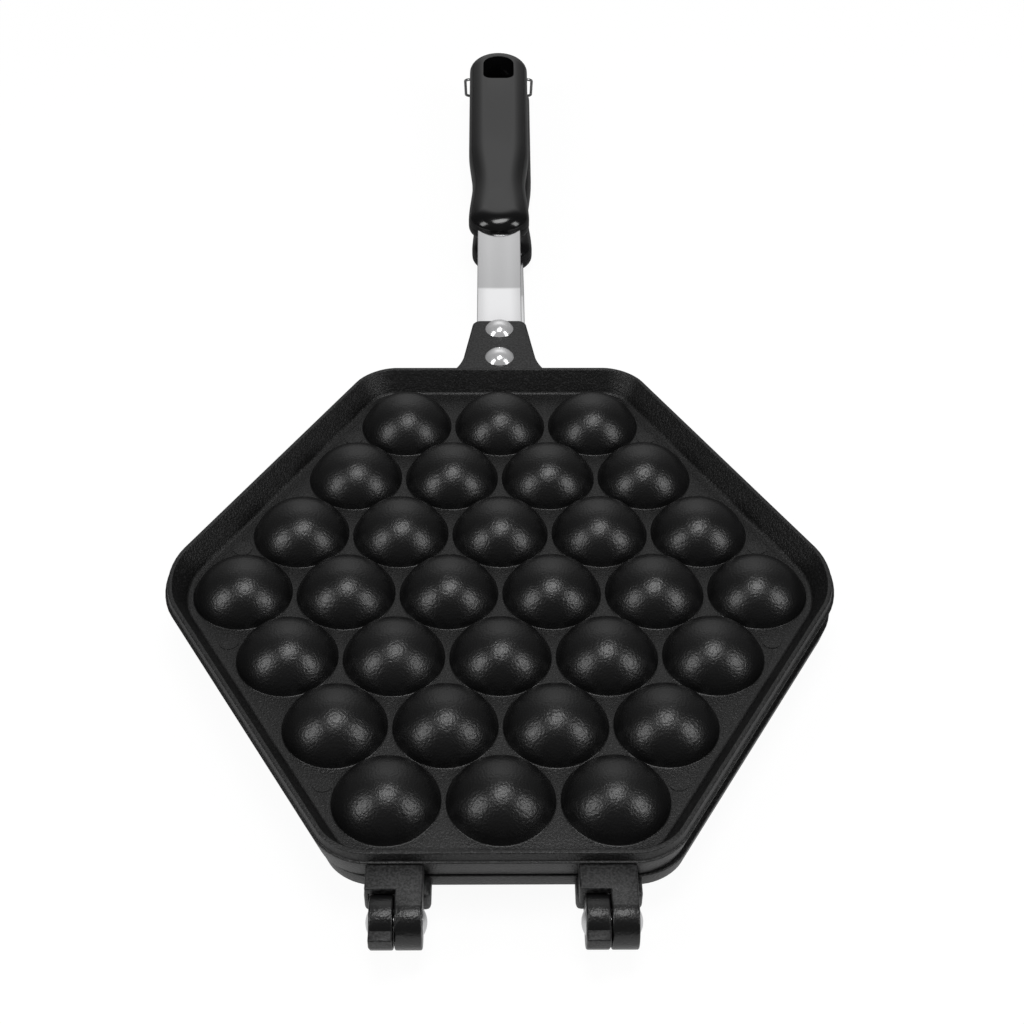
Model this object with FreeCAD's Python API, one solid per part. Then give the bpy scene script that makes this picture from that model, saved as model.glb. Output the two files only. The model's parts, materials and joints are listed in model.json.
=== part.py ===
import FreeCAD, Part
import math
import os

# Egg waffle pan: two cast plates hinged at the front, each with a riveted strap and a grip behind.
# X runs along the hinge axis, Y from the hinge to the grips, Z up.
# Heights are counted from the parting plane between the plates until the origin is set.

Vector = FreeCAD.Vector
X = Vector(1, 0, 0)
Y = Vector(0, 1, 0)
Z = Vector(0, 0, 1)

# Cup field, the same in both plates
cups_in_rows = (3, 4, 5, 6, 5, 4, 3)
cup_pitch = 32.0
row_pitch = 26.88
cup_radius = 14.3
cup_wall = 1.9
cup_centre_sink = 2.0
cup_sides = 12
cavity_sides = 10
dome_ring_angles = (42, 64, 80)
cavity_ring_angles = (42, 70)

# Plates, with offsets counted from the hexagon through the centres of the outer cups
parting_gap = 0.3
waffle_web = 2.0
plate_web = 2.3
seal_offset = 17.5
corner_radius_side = 26.0
corner_radius_end = 16.0
skirt_offset = 22.2
ledge_offset = 24.3
ledge_height = 8.0
rim_foot_offset = 23.55
rim_offset = 23.2
rim_width = 1.3
rim_height = 10.9
tray_offset = 17.6
cove = 0.9
cove_lean = 0.3
cove_rise = 0.45
lower_brim_offset = 22.6
lower_foot_offset = 21.5
lower_rim_width = 2.5
lower_rim_depth = 5.8

# Hinges
hinge_offset = 37.26
hinge_spacing = 57.0
knuckle_radius = 7.2
knuckle_width = 6.4
ear_width = 7.3
knuckle_gap = 0.35
notch_clearance = 0.3
side_clearance = 0.4
upper_block_width = 15.5
upper_block_front = 5.4
lower_block_width = 18.0
lower_block_shift = 0.6
lower_block_front = 8.4
lower_block_depth = 7.4
lower_block_corner = 2.5
lug_height = 4.5
lug_depth = 0.6
lug_reach = 8.7
lug_root = 3.0
pin_radius = 2.3
pin_fit = 0.01
pin_running_clearance = 0.05
pin_end_clearance = 0.1
pin_head_radius = 3.5
pin_head_height = 1.1
side_play = 1.2

# Handle tabs, straps and rivets
tab_length = 31.0
tab_base_width = 33.0
tab_waist_width = 27.7
tab_tip_width = 18.8
tab_flare = 6.0
tab_tip_radius = 2.5
tab_bed = 1.5
strap_width = 16.6
strap_thickness = 2.5
strap_clearance = 0.3
strap_start = 24.9
strap_bend = 81.4
rivet_inner = 32.4
rivet_outer = 48.9
rivet_radius = 2.4
rivet_clearance = 0.05
rivet_head_radius = 4.9
rivet_head_height = 2.6
rivet_tail_radius = 3.6
rivet_tail_depth = 1.2

# Grips
grip_start = 110.5
grip_length = 137.7
grip_nose_width = 23.8
grip_nose_length = 9.0
grip_waist_width = 21.2
grip_waist_at = 32.5
grip_shank_at = 60.0
grip_shank_width = 24.6
grip_end_radius = 12.6
grip_edge_radius = 5.6
slot_width = 13.2
slot_length = 19.2
slot_end_wall = 7.8
slot_corner_radius = 3.5
tang_depth = 56.0
tang_clearance = 0.05

# Latch ring
wire_radius = 0.6
ring_hole_clearance = 0.05
ring_hole_depth = 3.2
ring_side_gap = 0.3
ring_reach = 22.5
ring_bend_radius = 2.4
ring_pivot_back = 12.8
ring_pivot_height = 5.3
ring_stand_off = 1.65

overrun = 1.0
touch = 0.01

# Levels and places that follow from the sizes above
half_gap = parting_gap / 2
inner_face = waffle_web / 2
outer_face = inner_face + plate_web
dome_radius = cup_radius + cup_wall
rest_level = dome_radius * math.sin(math.radians(dome_ring_angles[-1])) - cup_centre_sink
field_half_length = row_pitch * (len(cups_in_rows) - 1) / 2
field_half_width = cup_pitch * (max(cups_in_rows) - 1) / 2
field_end_half_width = cup_pitch * (cups_in_rows[0] - 1) / 2
hinge_y = -field_half_length - hinge_offset
handle_y = field_half_length


def cup_centres():
    """Centres of the cups, row by row, centred on the origin."""
    centres = []
    for row, count in enumerate(cups_in_rows):
        y = row * row_pitch - field_half_length
        for place in range(count):
            x = (place - (count - 1) / 2) * cup_pitch
            centres.append(Vector(x, y, 0))
    return centres


def hexagon():
    """Corners of the hexagon through the centres of the outer cups, anticlockwise."""
    return [
        Vector(field_half_width, 0, 0),
        Vector(field_end_half_width, field_half_length, 0),
        Vector(-field_end_half_width, field_half_length, 0),
        Vector(-field_half_width, 0, 0),
        Vector(-field_end_half_width, -field_half_length, 0),
        Vector(field_end_half_width, -field_half_length, 0),
    ]


def corner_frames():
    """For each corner: the centre of its rounding, that centre's offset, and the normals before and after."""
    corners = hexagon()
    normals = []
    for start, end in zip(corners, corners[1:] + corners[:1]):
        along = (end - start).normalize()
        normals.append(Vector(along.y, -along.x, 0))
    frames = []
    for index, corner in enumerate(corners):
        before = normals[index - 1]
        after = normals[index]
        radius = corner_radius_side if corner.y == 0 else corner_radius_end
        offset = rim_offset - radius
        mitre = (before + after) / (1 + before.dot(after))
        frames.append((corner + mitre * offset, offset, before, after))
    return frames


def outline_face(offset, z):
    """The rounded hexagon at one offset, as a flat face."""
    frames = corner_frames()
    edges = []
    for index, (centre, own_offset, before, after) in enumerate(frames):
        radius = offset - own_offset
        middle = (before + after).normalize()
        level = Vector(0, 0, z)
        arc = [centre + normal * radius + level for normal in (before, middle, after)]
        edges.append(Part.Arc(*arc).toShape())
        next_centre, next_offset, _, _ = frames[(index + 1) % len(frames)]
        line_end = next_centre + after * (offset - next_offset) + level
        edges.append(Part.makeLine(arc[-1], line_end))
    return Part.Face(Part.Wire(edges))


def outline_solid(profile):
    """A block whose edge follows a profile of (offset, height) pairs round the rounded hexagon."""
    frames = corner_frames()
    faces = [outline_face(*profile[0]), outline_face(*profile[-1])]
    for (offset_0, z_0), (offset_1, z_1) in zip(profile, profile[1:]):
        for index, (centre, own_offset, before, after) in enumerate(frames):
            low = centre + before * (offset_0 - own_offset) + Vector(0, 0, z_0)
            high = centre + before * (offset_1 - own_offset) + Vector(0, 0, z_1)
            turn = math.degrees(before.getAngle(after))
            faces.append(Part.makeLine(low, high).revolve(centre, Z, turn))
            next_centre, next_offset, _, _ = frames[(index + 1) % len(frames)]
            points = [
                centre + after * (offset_0 - own_offset) + Vector(0, 0, z_0),
                next_centre + after * (offset_0 - next_offset) + Vector(0, 0, z_0),
                next_centre + after * (offset_1 - next_offset) + Vector(0, 0, z_1),
                centre + after * (offset_1 - own_offset) + Vector(0, 0, z_1),
            ]
            faces.append(Part.Face(Part.makePolygon(points + points[:1])))
    return solid_from(faces)


def solid_from(faces):
    """Sews faces into one closed solid that is turned the right way out."""
    shell = Part.makeShell(faces)
    shell.sewShape()
    solid = Part.makeSolid(shell)
    if solid.Volume < 0:
        solid.reverse()
    return solid


def faceted_cap(radius, base_z, ring_angles, sides):
    """Part of a sphere about a point below the parting plane, in flat facets, on a straight foot."""
    rings = []
    base_radius = math.sqrt(radius ** 2 - (base_z + cup_centre_sink) ** 2)
    rings.append((base_radius, base_z - overrun))
    rings.append((base_radius, base_z))
    for angle in ring_angles:
        turn = math.radians(angle)
        rings.append((radius * math.cos(turn), radius * math.sin(turn) - cup_centre_sink))
    loops = []
    for ring_radius, z in rings:
        loop = []
        for side in range(sides):
            turn = 2 * math.pi * side / sides
            loop.append(Vector(ring_radius * math.cos(turn), ring_radius * math.sin(turn), z))
        loops.append(loop)
    faces = [Part.Face(Part.makePolygon(loop + loop[:1])) for loop in (loops[0], loops[-1])]
    for low, high in zip(loops, loops[1:]):
        for side in range(sides):
            after = (side + 1) % sides
            points = [low[side], low[after], high[after], high[side]]
            faces.append(Part.Face(Part.makePolygon(points + points[:1])))
    return solid_from(faces)


def at_cups(shape):
    """Copies of a shape at every cup."""
    return [shape.translated(centre) for centre in cup_centres()]


def side_profile(points, x_0, x_1):
    """A solid from an outline of (y, z) points, between two places along the hinge axis."""
    corners = [Vector(x_0, y, z) for y, z in points]
    return Part.Face(Part.makePolygon(corners + corners[:1])).extrude(X * (x_1 - x_0))


def hinge_cylinder(radius, x_0, x_1):
    """A cylinder on the hinge axis."""
    return Part.makeCylinder(radius, x_1 - x_0, Vector(x_0, hinge_y, 0), X)


def hinge_places():
    """For each hinge: its centre, then the ends of the knuckle and of the ear."""
    places = []
    for side in (-1, 1):
        centre = side * hinge_spacing / 2
        ear_end = centre + upper_block_width / 2
        ear = (ear_end - ear_width, ear_end)
        knuckle_end = ear[0] - knuckle_gap
        knuckle = (knuckle_end - knuckle_width, knuckle_end)
        places.append((centre, knuckle, ear))
    return places


def upper_hinge(centre, knuckle, ear):
    """Block on the upper plate with its ear; gives the solid to add and the one to cut."""
    root_y = -field_half_length - seal_offset
    front_y = hinge_y + upper_block_front
    half = upper_block_width / 2
    block = side_profile(
        [(front_y, half_gap), (root_y, half_gap), (root_y, knuckle_radius), (front_y, knuckle_radius)],
        centre - half,
        centre + half,
    )
    link = side_profile(
        [(hinge_y, half_gap), (root_y, half_gap), (root_y, knuckle_radius), (hinge_y, knuckle_radius)],
        *ear,
    )
    notch = hinge_cylinder(knuckle_radius + notch_clearance, knuckle[0] - side_clearance, ear[0])
    eye = hinge_cylinder(knuckle_radius, *ear)
    bore = hinge_cylinder(pin_radius + pin_running_clearance, ear[0] - overrun, ear[1] + overrun)
    return block.cut(notch).fuse([link, eye]), bore


def lower_hinge(centre, knuckle, ear):
    """Block on the lower plate with its knuckle and stop lug; gives the solid to add and the one to cut."""
    root_y = -field_half_length - seal_offset
    front_y = hinge_y + lower_block_front
    half = lower_block_width / 2
    block = side_profile(
        [(front_y, -half_gap), (root_y, -half_gap), (root_y, -lower_block_depth), (front_y, -lower_block_depth)],
        centre + lower_block_shift - half,
        centre + lower_block_shift + half,
    )
    corner = [edge for edge in block.Edges if on_line(edge, front_y, -lower_block_depth)]
    block = block.makeFillet(lower_block_corner, corner)
    link = side_profile(
        [(hinge_y, -half_gap), (root_y, -half_gap), (root_y, -lower_block_depth), (hinge_y, -knuckle_radius)],
        *knuckle,
    )
    lug = side_profile(
        [
            (hinge_y - lug_reach, lug_depth),
            (hinge_y - lug_root, lug_depth),
            (hinge_y - lug_root, lug_height),
            (hinge_y - lug_reach, lug_height),
        ],
        *knuckle,
    )
    eye = hinge_cylinder(knuckle_radius, *knuckle)
    bore = hinge_cylinder(pin_radius + pin_fit, knuckle[0] - overrun, knuckle[1] + overrun)
    return block.fuse([link, lug, eye]), bore


def on_line(edge, y, z):
    """True for an edge along the hinge direction through one (y, z) place."""
    return all(
        abs(vertex.Y - y) < touch and abs(vertex.Z - z) < touch
        for vertex in edge.Vertexes
    )


def arc_between(start, tangent, end):
    """The arc under half a turn that leaves start along a unit tangent and reaches end."""
    chord = end - start
    across = (chord - tangent * chord.dot(tangent)).normalize()
    radius = chord.dot(chord) / (2 * chord.dot(across))
    centre = start + across * radius
    outward = ((start + end) / 2 - centre).normalize()
    return Part.Arc(start, centre + outward * radius, end).toShape()


def tab(bottom, top):
    """Handle tab behind a plate, flared at its root, between two levels."""
    root_y = handle_y + seal_offset
    wall_y = handle_y + skirt_offset
    tip_y = wall_y + tab_length + tab_bed
    foot = tab_base_width / 2
    waist = tab_waist_width / 2
    tip = tab_tip_width / 2
    flare_y = wall_y + tab_bed + tab_flare
    corner_y = tip_y - tab_tip_radius
    edges = []
    for side in (1, -1):
        base = Vector(side * foot, root_y, bottom)
        flare_start = Vector(side * foot, wall_y, bottom)
        flare_end = Vector(side * waist, flare_y, bottom)
        corner_start = Vector(side * tip, corner_y, bottom)
        corner_end = Vector(side * (tip - tab_tip_radius), tip_y, bottom)
        along = (corner_start - flare_end).normalize()
        edges.append(Part.makeLine(base, flare_start))
        edges.append(arc_between(flare_end, along * -1, flare_start))
        edges.append(Part.makeLine(flare_end, corner_start))
        edges.append(arc_between(corner_start, along, corner_end))
    edges.append(Part.makeLine(Vector(-foot, root_y, bottom), Vector(foot, root_y, bottom)))
    end = tip - tab_tip_radius
    edges.append(Part.makeLine(Vector(-end, tip_y, bottom), Vector(end, tip_y, bottom)))
    outline = Part.Wire(Part.__sortEdges__(edges))
    return Part.Face(outline).extrude(Z * (top - bottom))


def rivet_holes(bottom, top):
    """Holes for the two rivets of a tab or strap."""
    holes = []
    for place in (rivet_inner, rivet_outer):
        foot = Vector(0, handle_y + place, bottom - overrun)
        holes.append(Part.makeCylinder(rivet_radius + rivet_clearance, top - bottom + 2 * overrun, foot))
    return holes


def upper_plate():
    """Upper casting: a tray with domes standing in it, hinge ears in front and a tab behind."""
    body = outline_solid(
        [
            (skirt_offset, half_gap),
            (ledge_offset, ledge_height),
            (rim_foot_offset, ledge_height),
            (rim_offset, rim_height),
        ]
    )
    hinges = [upper_hinge(*place) for place in hinge_places()]
    tab_bottom = strap_clearance + strap_thickness
    body = body.fuse([added for added, _ in hinges] + [tab(tab_bottom, ledge_height)])
    tray = outline_solid(
        [
            (tray_offset - cove, outer_face),
            (tray_offset + cove_lean, outer_face + cove_rise),
            (rim_offset - rim_width, rim_height),
            (rim_offset - rim_width, rim_height + overrun),
        ]
    )
    recess = outline_solid([(seal_offset, half_gap - overrun), (seal_offset, inner_face)])
    bores = [bore for _, bore in hinges]
    body = body.cut([tray, recess] + bores + rivet_holes(tab_bottom, ledge_height))
    domes = at_cups(faceted_cap(dome_radius, outer_face, dome_ring_angles, cup_sides))
    cavities = at_cups(faceted_cap(cup_radius, inner_face, cavity_ring_angles, cavity_sides))
    return body.fuse(domes).cut(cavities)


def lower_plate():
    """Lower casting: shallower, with its domes downwards; made upside down and turned over."""
    body = outline_solid([(lower_brim_offset, half_gap), (lower_foot_offset, lower_rim_depth)])
    pocket = outline_solid(
        [
            (lower_foot_offset - lower_rim_width, outer_face),
            (lower_foot_offset - lower_rim_width, lower_rim_depth + overrun),
        ]
    )
    recess = outline_solid([(seal_offset, half_gap - overrun), (seal_offset, inner_face)])
    tab_bottom = strap_clearance + strap_thickness
    body = body.fuse(tab(tab_bottom, ledge_height))
    body = body.cut([pocket, recess] + rivet_holes(tab_bottom, ledge_height))
    domes = at_cups(faceted_cap(dome_radius, outer_face, dome_ring_angles, cup_sides))
    cavities = at_cups(faceted_cap(cup_radius, inner_face, cavity_ring_angles, cavity_sides))
    body = turned_over(body.fuse(domes).cut(cavities))
    hinges = [lower_hinge(*place) for place in hinge_places()]
    added = [solid for solid, _ in hinges]
    bores = [bore for _, bore in hinges]
    pocket = turned_over(pocket)
    recess = turned_over(recess)
    added = Part.makeCompound(added).cut([pocket, recess])
    return body.translated(X * side_play).fuse(added).cut(bores)


def turned_over(shape):
    """The mirror image of a shape in the parting plane."""
    return shape.mirror(Vector(), Z)


def lower_part(shape):
    """Turns a shape of the upper handle into the lower one, with the play at the hinges."""
    return turned_over(shape).translated(X * side_play)


def hinge_pin(knuckle, ear):
    """Short pin with a dome head at each end."""
    start = knuckle[0]
    end = ear[1] + pin_end_clearance
    shank = hinge_cylinder(pin_radius, start, end)
    heads = [hinge_dome(start, -1), hinge_dome(end, 1)]
    return shank.fuse(heads)


def hinge_dome(x, side):
    """Dome head on the hinge axis, facing one way."""
    cap = dome(pin_head_radius, pin_head_height)
    cap.rotate(Vector(), Y, side * 90)
    return cap.translated(Vector(x, hinge_y, 0))


def dome(radius, height):
    """Low dome on a flat foot, pointing up."""
    sphere_radius = (radius ** 2 + height ** 2) / (2 * height)
    rise = sphere_radius - height
    crown = Vector(0, 0, height)
    shoulder_turn = math.asin(radius / sphere_radius) / 2
    shoulder = Vector(sphere_radius * math.sin(shoulder_turn), 0, sphere_radius * math.cos(shoulder_turn) - rise)
    rim = Vector(radius, 0, 0)
    edges = [
        Part.Arc(crown, shoulder, rim).toShape(),
        Part.makeLine(rim, Vector()),
        Part.makeLine(Vector(), crown),
    ]
    return Part.Face(Part.Wire(edges)).revolve(Vector(), Z, 360)


def grip_middle():
    """Level of the middle of the upper grip."""
    return (strap_clearance + rest_level) / 2


def strap_path():
    """Middle line of the upper strap as (y, z) places: flat under the tab, rising, level in the grip."""
    flat_z = strap_clearance + strap_thickness / 2
    return [
        (handle_y + strap_start, flat_z),
        (handle_y + strap_bend, flat_z),
        (handle_y + grip_start + strap_thickness, grip_middle()),
        (handle_y + grip_start + tang_depth, grip_middle()),
    ]


def ribbon(path, thickness, width):
    """A strip of even thickness along a path in the Y-Z plane, mitred at its bends."""
    normals = []
    for (y_0, z_0), (y_1, z_1) in zip(path, path[1:]):
        along = Vector(0, y_1 - y_0, z_1 - z_0).normalize()
        normals.append(Vector(0, -along.z, along.y))
    upper = []
    lower = []
    for index, (y, z) in enumerate(path):
        before = normals[max(index - 1, 0)]
        after = normals[min(index, len(normals) - 1)]
        mitre = (before + after) / (1 + before.dot(after)) * (thickness / 2)
        upper.append((y + mitre.y, z + mitre.z))
        lower.append((y - mitre.y, z - mitre.z))
    return side_profile(upper + lower[::-1], -width / 2, width / 2)


def upper_strap():
    """Bent steel strap with two rivet holes, countersunk on its inner face."""
    strap = ribbon(strap_path(), strap_thickness, strap_width)
    holes = rivet_holes(strap_clearance, strap_clearance + strap_thickness)
    sinks = [rivet_tail(place, rivet_clearance) for place in (rivet_inner, rivet_outer)]
    return strap.cut(holes + sinks)


def rivet_tail(place, clearance):
    """Countersunk tail of a rivet, flush with the inner face of the strap."""
    foot = Vector(0, handle_y + place, strap_clearance)
    return Part.makeCone(rivet_tail_radius + clearance, rivet_radius + clearance, rivet_tail_depth, foot)


def upper_rivet(place):
    """Rivet through tab and strap, with a dome head on the tab."""
    foot = Vector(0, handle_y + place, strap_clearance)
    shank = Part.makeCylinder(rivet_radius, ledge_height - strap_clearance, foot)
    head = dome(rivet_head_radius, rivet_head_height).translated(Vector(0, handle_y + place, ledge_height))
    return shank.fuse([head, rivet_tail(place, 0)])


def grip_outline(bottom):
    """Plan of a grip: blunt elliptical nose, drawn-in waist, straight shank and full round end."""
    nose_y = handle_y + grip_start + grip_nose_length
    end_y = handle_y + grip_start + grip_length - grip_end_radius
    waist_y = handle_y + grip_start + grip_waist_at
    shank_y = handle_y + grip_start + grip_shank_at
    edges = []
    for side in (1, -1):
        sweep = Part.BSplineCurve()
        sweep.interpolate(
            Points=[
                Vector(side * grip_nose_width / 2, nose_y, bottom),
                Vector(side * grip_waist_width / 2, waist_y, bottom),
                Vector(side * grip_shank_width / 2, shank_y, bottom),
            ],
            InitialTangent=Y,
            FinalTangent=Y,
        )
        edges.append(sweep.toShape())
        shank = Vector(side * grip_shank_width / 2, shank_y, bottom)
        edges.append(Part.makeLine(shank, Vector(side * grip_end_radius, end_y, bottom)))
    left_end = Vector(-grip_end_radius, end_y, bottom)
    right_end = Vector(grip_end_radius, end_y, bottom)
    edges.append(Part.Arc(left_end, Vector(0, end_y + grip_end_radius, bottom), right_end).toShape())
    nose_right = Vector(grip_nose_width / 2, nose_y, bottom)
    nose_tip = Vector(0, nose_y - grip_nose_length, bottom)
    nose = Part.Ellipse(nose_right, nose_tip, Vector(0, nose_y, bottom))
    edges.append(nose.toShape(0, math.pi))
    return Part.Wire(Part.__sortEdges__(edges))


def slot_cutter(bottom, height):
    """Hanging slot, round at its far end and square with rounded corners at its near end."""
    radius = slot_width / 2
    end_y = handle_y + grip_start + grip_length - slot_end_wall
    far_y = end_y - radius
    near_y = end_y - slot_length
    round_end = Part.makeCylinder(radius, height, Vector(0, far_y, bottom))
    straight = Part.makeBox(slot_width, far_y - near_y, height, Vector(-radius, near_y, bottom))
    corners = [edge for edge in straight.Edges if all(abs(vertex.Y - near_y) < touch for vertex in edge.Vertexes)]
    upright = [edge for edge in corners if abs(edge.Vertexes[0].X - edge.Vertexes[1].X) < touch]
    return straight.makeFillet(slot_corner_radius, upright).fuse(round_end).removeSplitter()


def grip():
    """Upper grip with rounded edges, its hanging slot and the pocket for the strap."""
    bottom = strap_clearance
    height = rest_level - strap_clearance
    block = Part.Face(grip_outline(bottom)).extrude(Z * height)
    block = block.makeFillet(grip_edge_radius, level_edges(block, (bottom, bottom + height)))
    block = block.cut(slot_cutter(bottom - overrun, height + 2 * overrun))
    pocket = ribbon(strap_path(), strap_thickness + 2 * tang_clearance, strap_width + 2 * tang_clearance)
    return block.cut(pocket)


def level_edges(shape, levels):
    """Edges of a shape that lie flat at one of the levels."""
    return [
        edge
        for edge in shape.Edges
        for level in levels
        if all(abs(vertex.Z - level) < touch for vertex in edge.Vertexes)
    ]


def ring_pivot():
    """Place of the latch ring's axis in the upper grip."""
    return Vector(0, handle_y + grip_start + grip_length - ring_pivot_back, ring_pivot_height)


def ring_half_width():
    """Distance of a leg of the ring from the middle of the upper grip."""
    return grip_end_radius + side_play + ring_side_gap + wire_radius


def ring_turn():
    """Angle that swings the ring's crossbar clear of the lower grip's end."""
    return math.degrees(math.asin((ring_pivot_back + ring_stand_off + wire_radius) / ring_reach))


def upper_grip():
    """Upper grip with the two side holes of the latch ring."""
    pivot = ring_pivot()
    holes = []
    for side in (-1, 1):
        start = pivot + X * side * (grip_end_radius - ring_hole_depth)
        holes.append(Part.makeCylinder(wire_radius + ring_hole_clearance, ring_hole_depth + overrun, start, X * side))
    return grip().cut(holes)


def latch_ring():
    """Square wire ring with turned-in ends, swung clear of the lower grip."""
    half = ring_half_width()
    stub_end = grip_end_radius - ring_hole_depth + ring_side_gap
    bend = ring_bend_radius
    legs = []
    for side in (1, -1):
        out = X * side
        stub = out * stub_end
        shoulder = out * (half - bend)
        leg_top = out * half - Z * bend
        leg_foot = out * half - Z * (ring_reach - bend)
        crossbar = out * (half - bend) - Z * ring_reach
        legs.append(Part.makeLine(stub, shoulder))
        legs.append(arc_between(shoulder, out, leg_top))
        legs.append(Part.makeLine(leg_top, leg_foot))
        legs.append(arc_between(leg_foot, Z * -1, crossbar))
    legs.append(Part.makeLine(crossbar, crossbar - out * (2 * (half - bend))))
    path = Part.Wire(Part.__sortEdges__(legs))
    start = path.OrderedVertexes[0].Point
    circle = Part.Wire(Part.makeCircle(wire_radius, start, X))
    ring = path.makePipeShell([circle], True, False)
    ring.rotate(Vector(), X, ring_turn())
    return ring.translated(ring_pivot())


def nodes():
    """Every separate piece, by name."""
    (_, left_knuckle, left_ear), (_, right_knuckle, right_ear) = hinge_places()
    return {
        "lower_plate": lower_plate(),
        "upper_plate": upper_plate(),
        "hinge_pin_left": hinge_pin(left_knuckle, left_ear),
        "hinge_pin_right": hinge_pin(right_knuckle, right_ear),
        "lower_strap": lower_part(upper_strap()),
        "upper_strap": upper_strap(),
        "lower_rivet_inner": lower_part(upper_rivet(rivet_inner)),
        "lower_rivet_outer": lower_part(upper_rivet(rivet_outer)),
        "upper_rivet_inner": upper_rivet(rivet_inner),
        "upper_rivet_outer": upper_rivet(rivet_outer),
        "lower_grip": lower_part(grip()),
        "upper_grip": upper_grip(),
        "latch_ring": latch_ring(),
    }


def main():
    """Builds the pieces, sets the origin under the middle of the whole and writes the files."""
    pieces = nodes()
    box = Part.makeCompound(list(pieces.values())).optimalBoundingBox(False, False)
    origin = Vector((box.XMin + box.XMax) / 2, (box.YMin + box.YMax) / 2, box.ZMin)
    print("origin", origin, "size", box.XLength, box.YLength, box.ZLength)
    os.makedirs("parts", exist_ok=True)
    for name, shape in pieces.items():
        solid = shape.Solids[0] if len(shape.Solids) == 1 else shape
        solid = solid.translated(origin * -1)
        print(name, "solids", len(shape.Solids), "valid", solid.isValid(), "volume", round(solid.Volume))
        solid.exportStep("parts/" + name + ".step")


main()
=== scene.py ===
import json
import math

import bmesh
import bpy
from bpy.props import FloatProperty, FloatVectorProperty, IntProperty, PointerProperty
from mathutils import Matrix, Vector


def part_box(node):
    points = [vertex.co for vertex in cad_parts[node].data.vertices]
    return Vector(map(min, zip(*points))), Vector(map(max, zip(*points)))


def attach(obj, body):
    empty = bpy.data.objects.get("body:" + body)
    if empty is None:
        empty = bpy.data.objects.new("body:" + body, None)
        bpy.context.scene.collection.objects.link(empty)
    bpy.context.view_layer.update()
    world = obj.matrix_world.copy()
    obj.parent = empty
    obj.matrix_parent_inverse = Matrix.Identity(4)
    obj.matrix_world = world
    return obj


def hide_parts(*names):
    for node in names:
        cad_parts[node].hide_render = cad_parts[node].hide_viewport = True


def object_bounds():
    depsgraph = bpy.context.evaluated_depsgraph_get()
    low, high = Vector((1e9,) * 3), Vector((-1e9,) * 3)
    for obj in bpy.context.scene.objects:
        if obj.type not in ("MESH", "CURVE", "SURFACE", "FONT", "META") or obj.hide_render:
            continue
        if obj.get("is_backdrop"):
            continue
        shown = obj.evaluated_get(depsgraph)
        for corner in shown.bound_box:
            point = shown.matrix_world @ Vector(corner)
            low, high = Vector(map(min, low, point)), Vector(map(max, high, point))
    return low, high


bl_info = {
    "name": "Egg Waffle Pan",
    "version": (1, 0, 0),
    "blender": (4, 5, 0),
    "location": "View3D > Sidebar > Waffle Pan",
    "description": "Cast two-plate egg waffle pan with strap handles, on a white studio stage",
    "category": "Mesh",
}

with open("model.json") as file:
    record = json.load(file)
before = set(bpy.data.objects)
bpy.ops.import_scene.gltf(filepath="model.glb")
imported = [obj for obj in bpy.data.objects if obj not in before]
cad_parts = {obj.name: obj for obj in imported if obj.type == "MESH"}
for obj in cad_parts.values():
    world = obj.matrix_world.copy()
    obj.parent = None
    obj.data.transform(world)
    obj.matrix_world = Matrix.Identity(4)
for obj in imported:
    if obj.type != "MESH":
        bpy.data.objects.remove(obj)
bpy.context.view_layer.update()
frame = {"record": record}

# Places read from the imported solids
GRIP_LOW, GRIP_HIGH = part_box("upper_grip")
STRAP_LOW, STRAP_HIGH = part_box("upper_strap")
JOINTS = {joint["name"]: joint for joint in frame["record"]["behaviour"]["joints"]}
HINGE = Vector(JOINTS["lid_hinge"]["pos_m"])
RING_PIVOT = Vector(JOINTS["latch_swing"]["pos_m"])
PARTING = HINGE.z
UP = Vector((0, 0, 1))
ROWS = (3, 4, 5, 6, 5, 4, 3)

# Vertices closer than this are one, in a finished piece and where shapes are joined
MERGE_DISTANCE = 0.0000005
JOIN_DISTANCE = 0.000001

# Just under the whole radius, so that two bevels of the slot's round end don't meet in one vertex
ROUND_SHARE = 0.999

# Radii of a rivet's tail and of the edge under its head, as shares of the head's radius
TAIL_SHARE = 0.72
NECK_SHARE = 0.96

# The most of a profile's side that a rounded corner takes
CORNER_SHARE = 0.45

# Width of a drawing line in the straps, as a share of its length
LINE_SHARE = 0.012

# Faces that meet more flatly are shaded as one; edges of straps and slots are sharper
SMOOTH_ANGLE = math.radians(38)
SLOT_ANGLE = math.radians(50)
STRAP_ANGLE = math.radians(60)

# Material slots of a casting
FLAT_SLOT = 0
CUP_SLOT = 1
SAND_SLOT = 2

# Brightness of the surroundings in gloss, by the share of the way across, back and up
ACROSS_SHARES = [(0.14, 1.0), (0.3, 0.62), (0.5, 0.24), (0.8, 0.08)]
BACK_SHARES = [(0.0, 0.06), (0.4, 0.3), (0.62, 1.0)]
HEIGHT_SHARES = [
    (0.0, 0.3), (0.34, 0.45), (0.5, 0.66), (0.57, 0.94), (0.68, 0.92), (0.82, 0.5), (0.95, 0.15),
]

# Directions from the pan to the lamps
TOP_WAY = (0.03, -0.04, 1.0)
LEFT_WAY = (-0.70, -0.30, 0.64)
RIGHT_WAY = (0.74, -0.28, 0.61)


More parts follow.
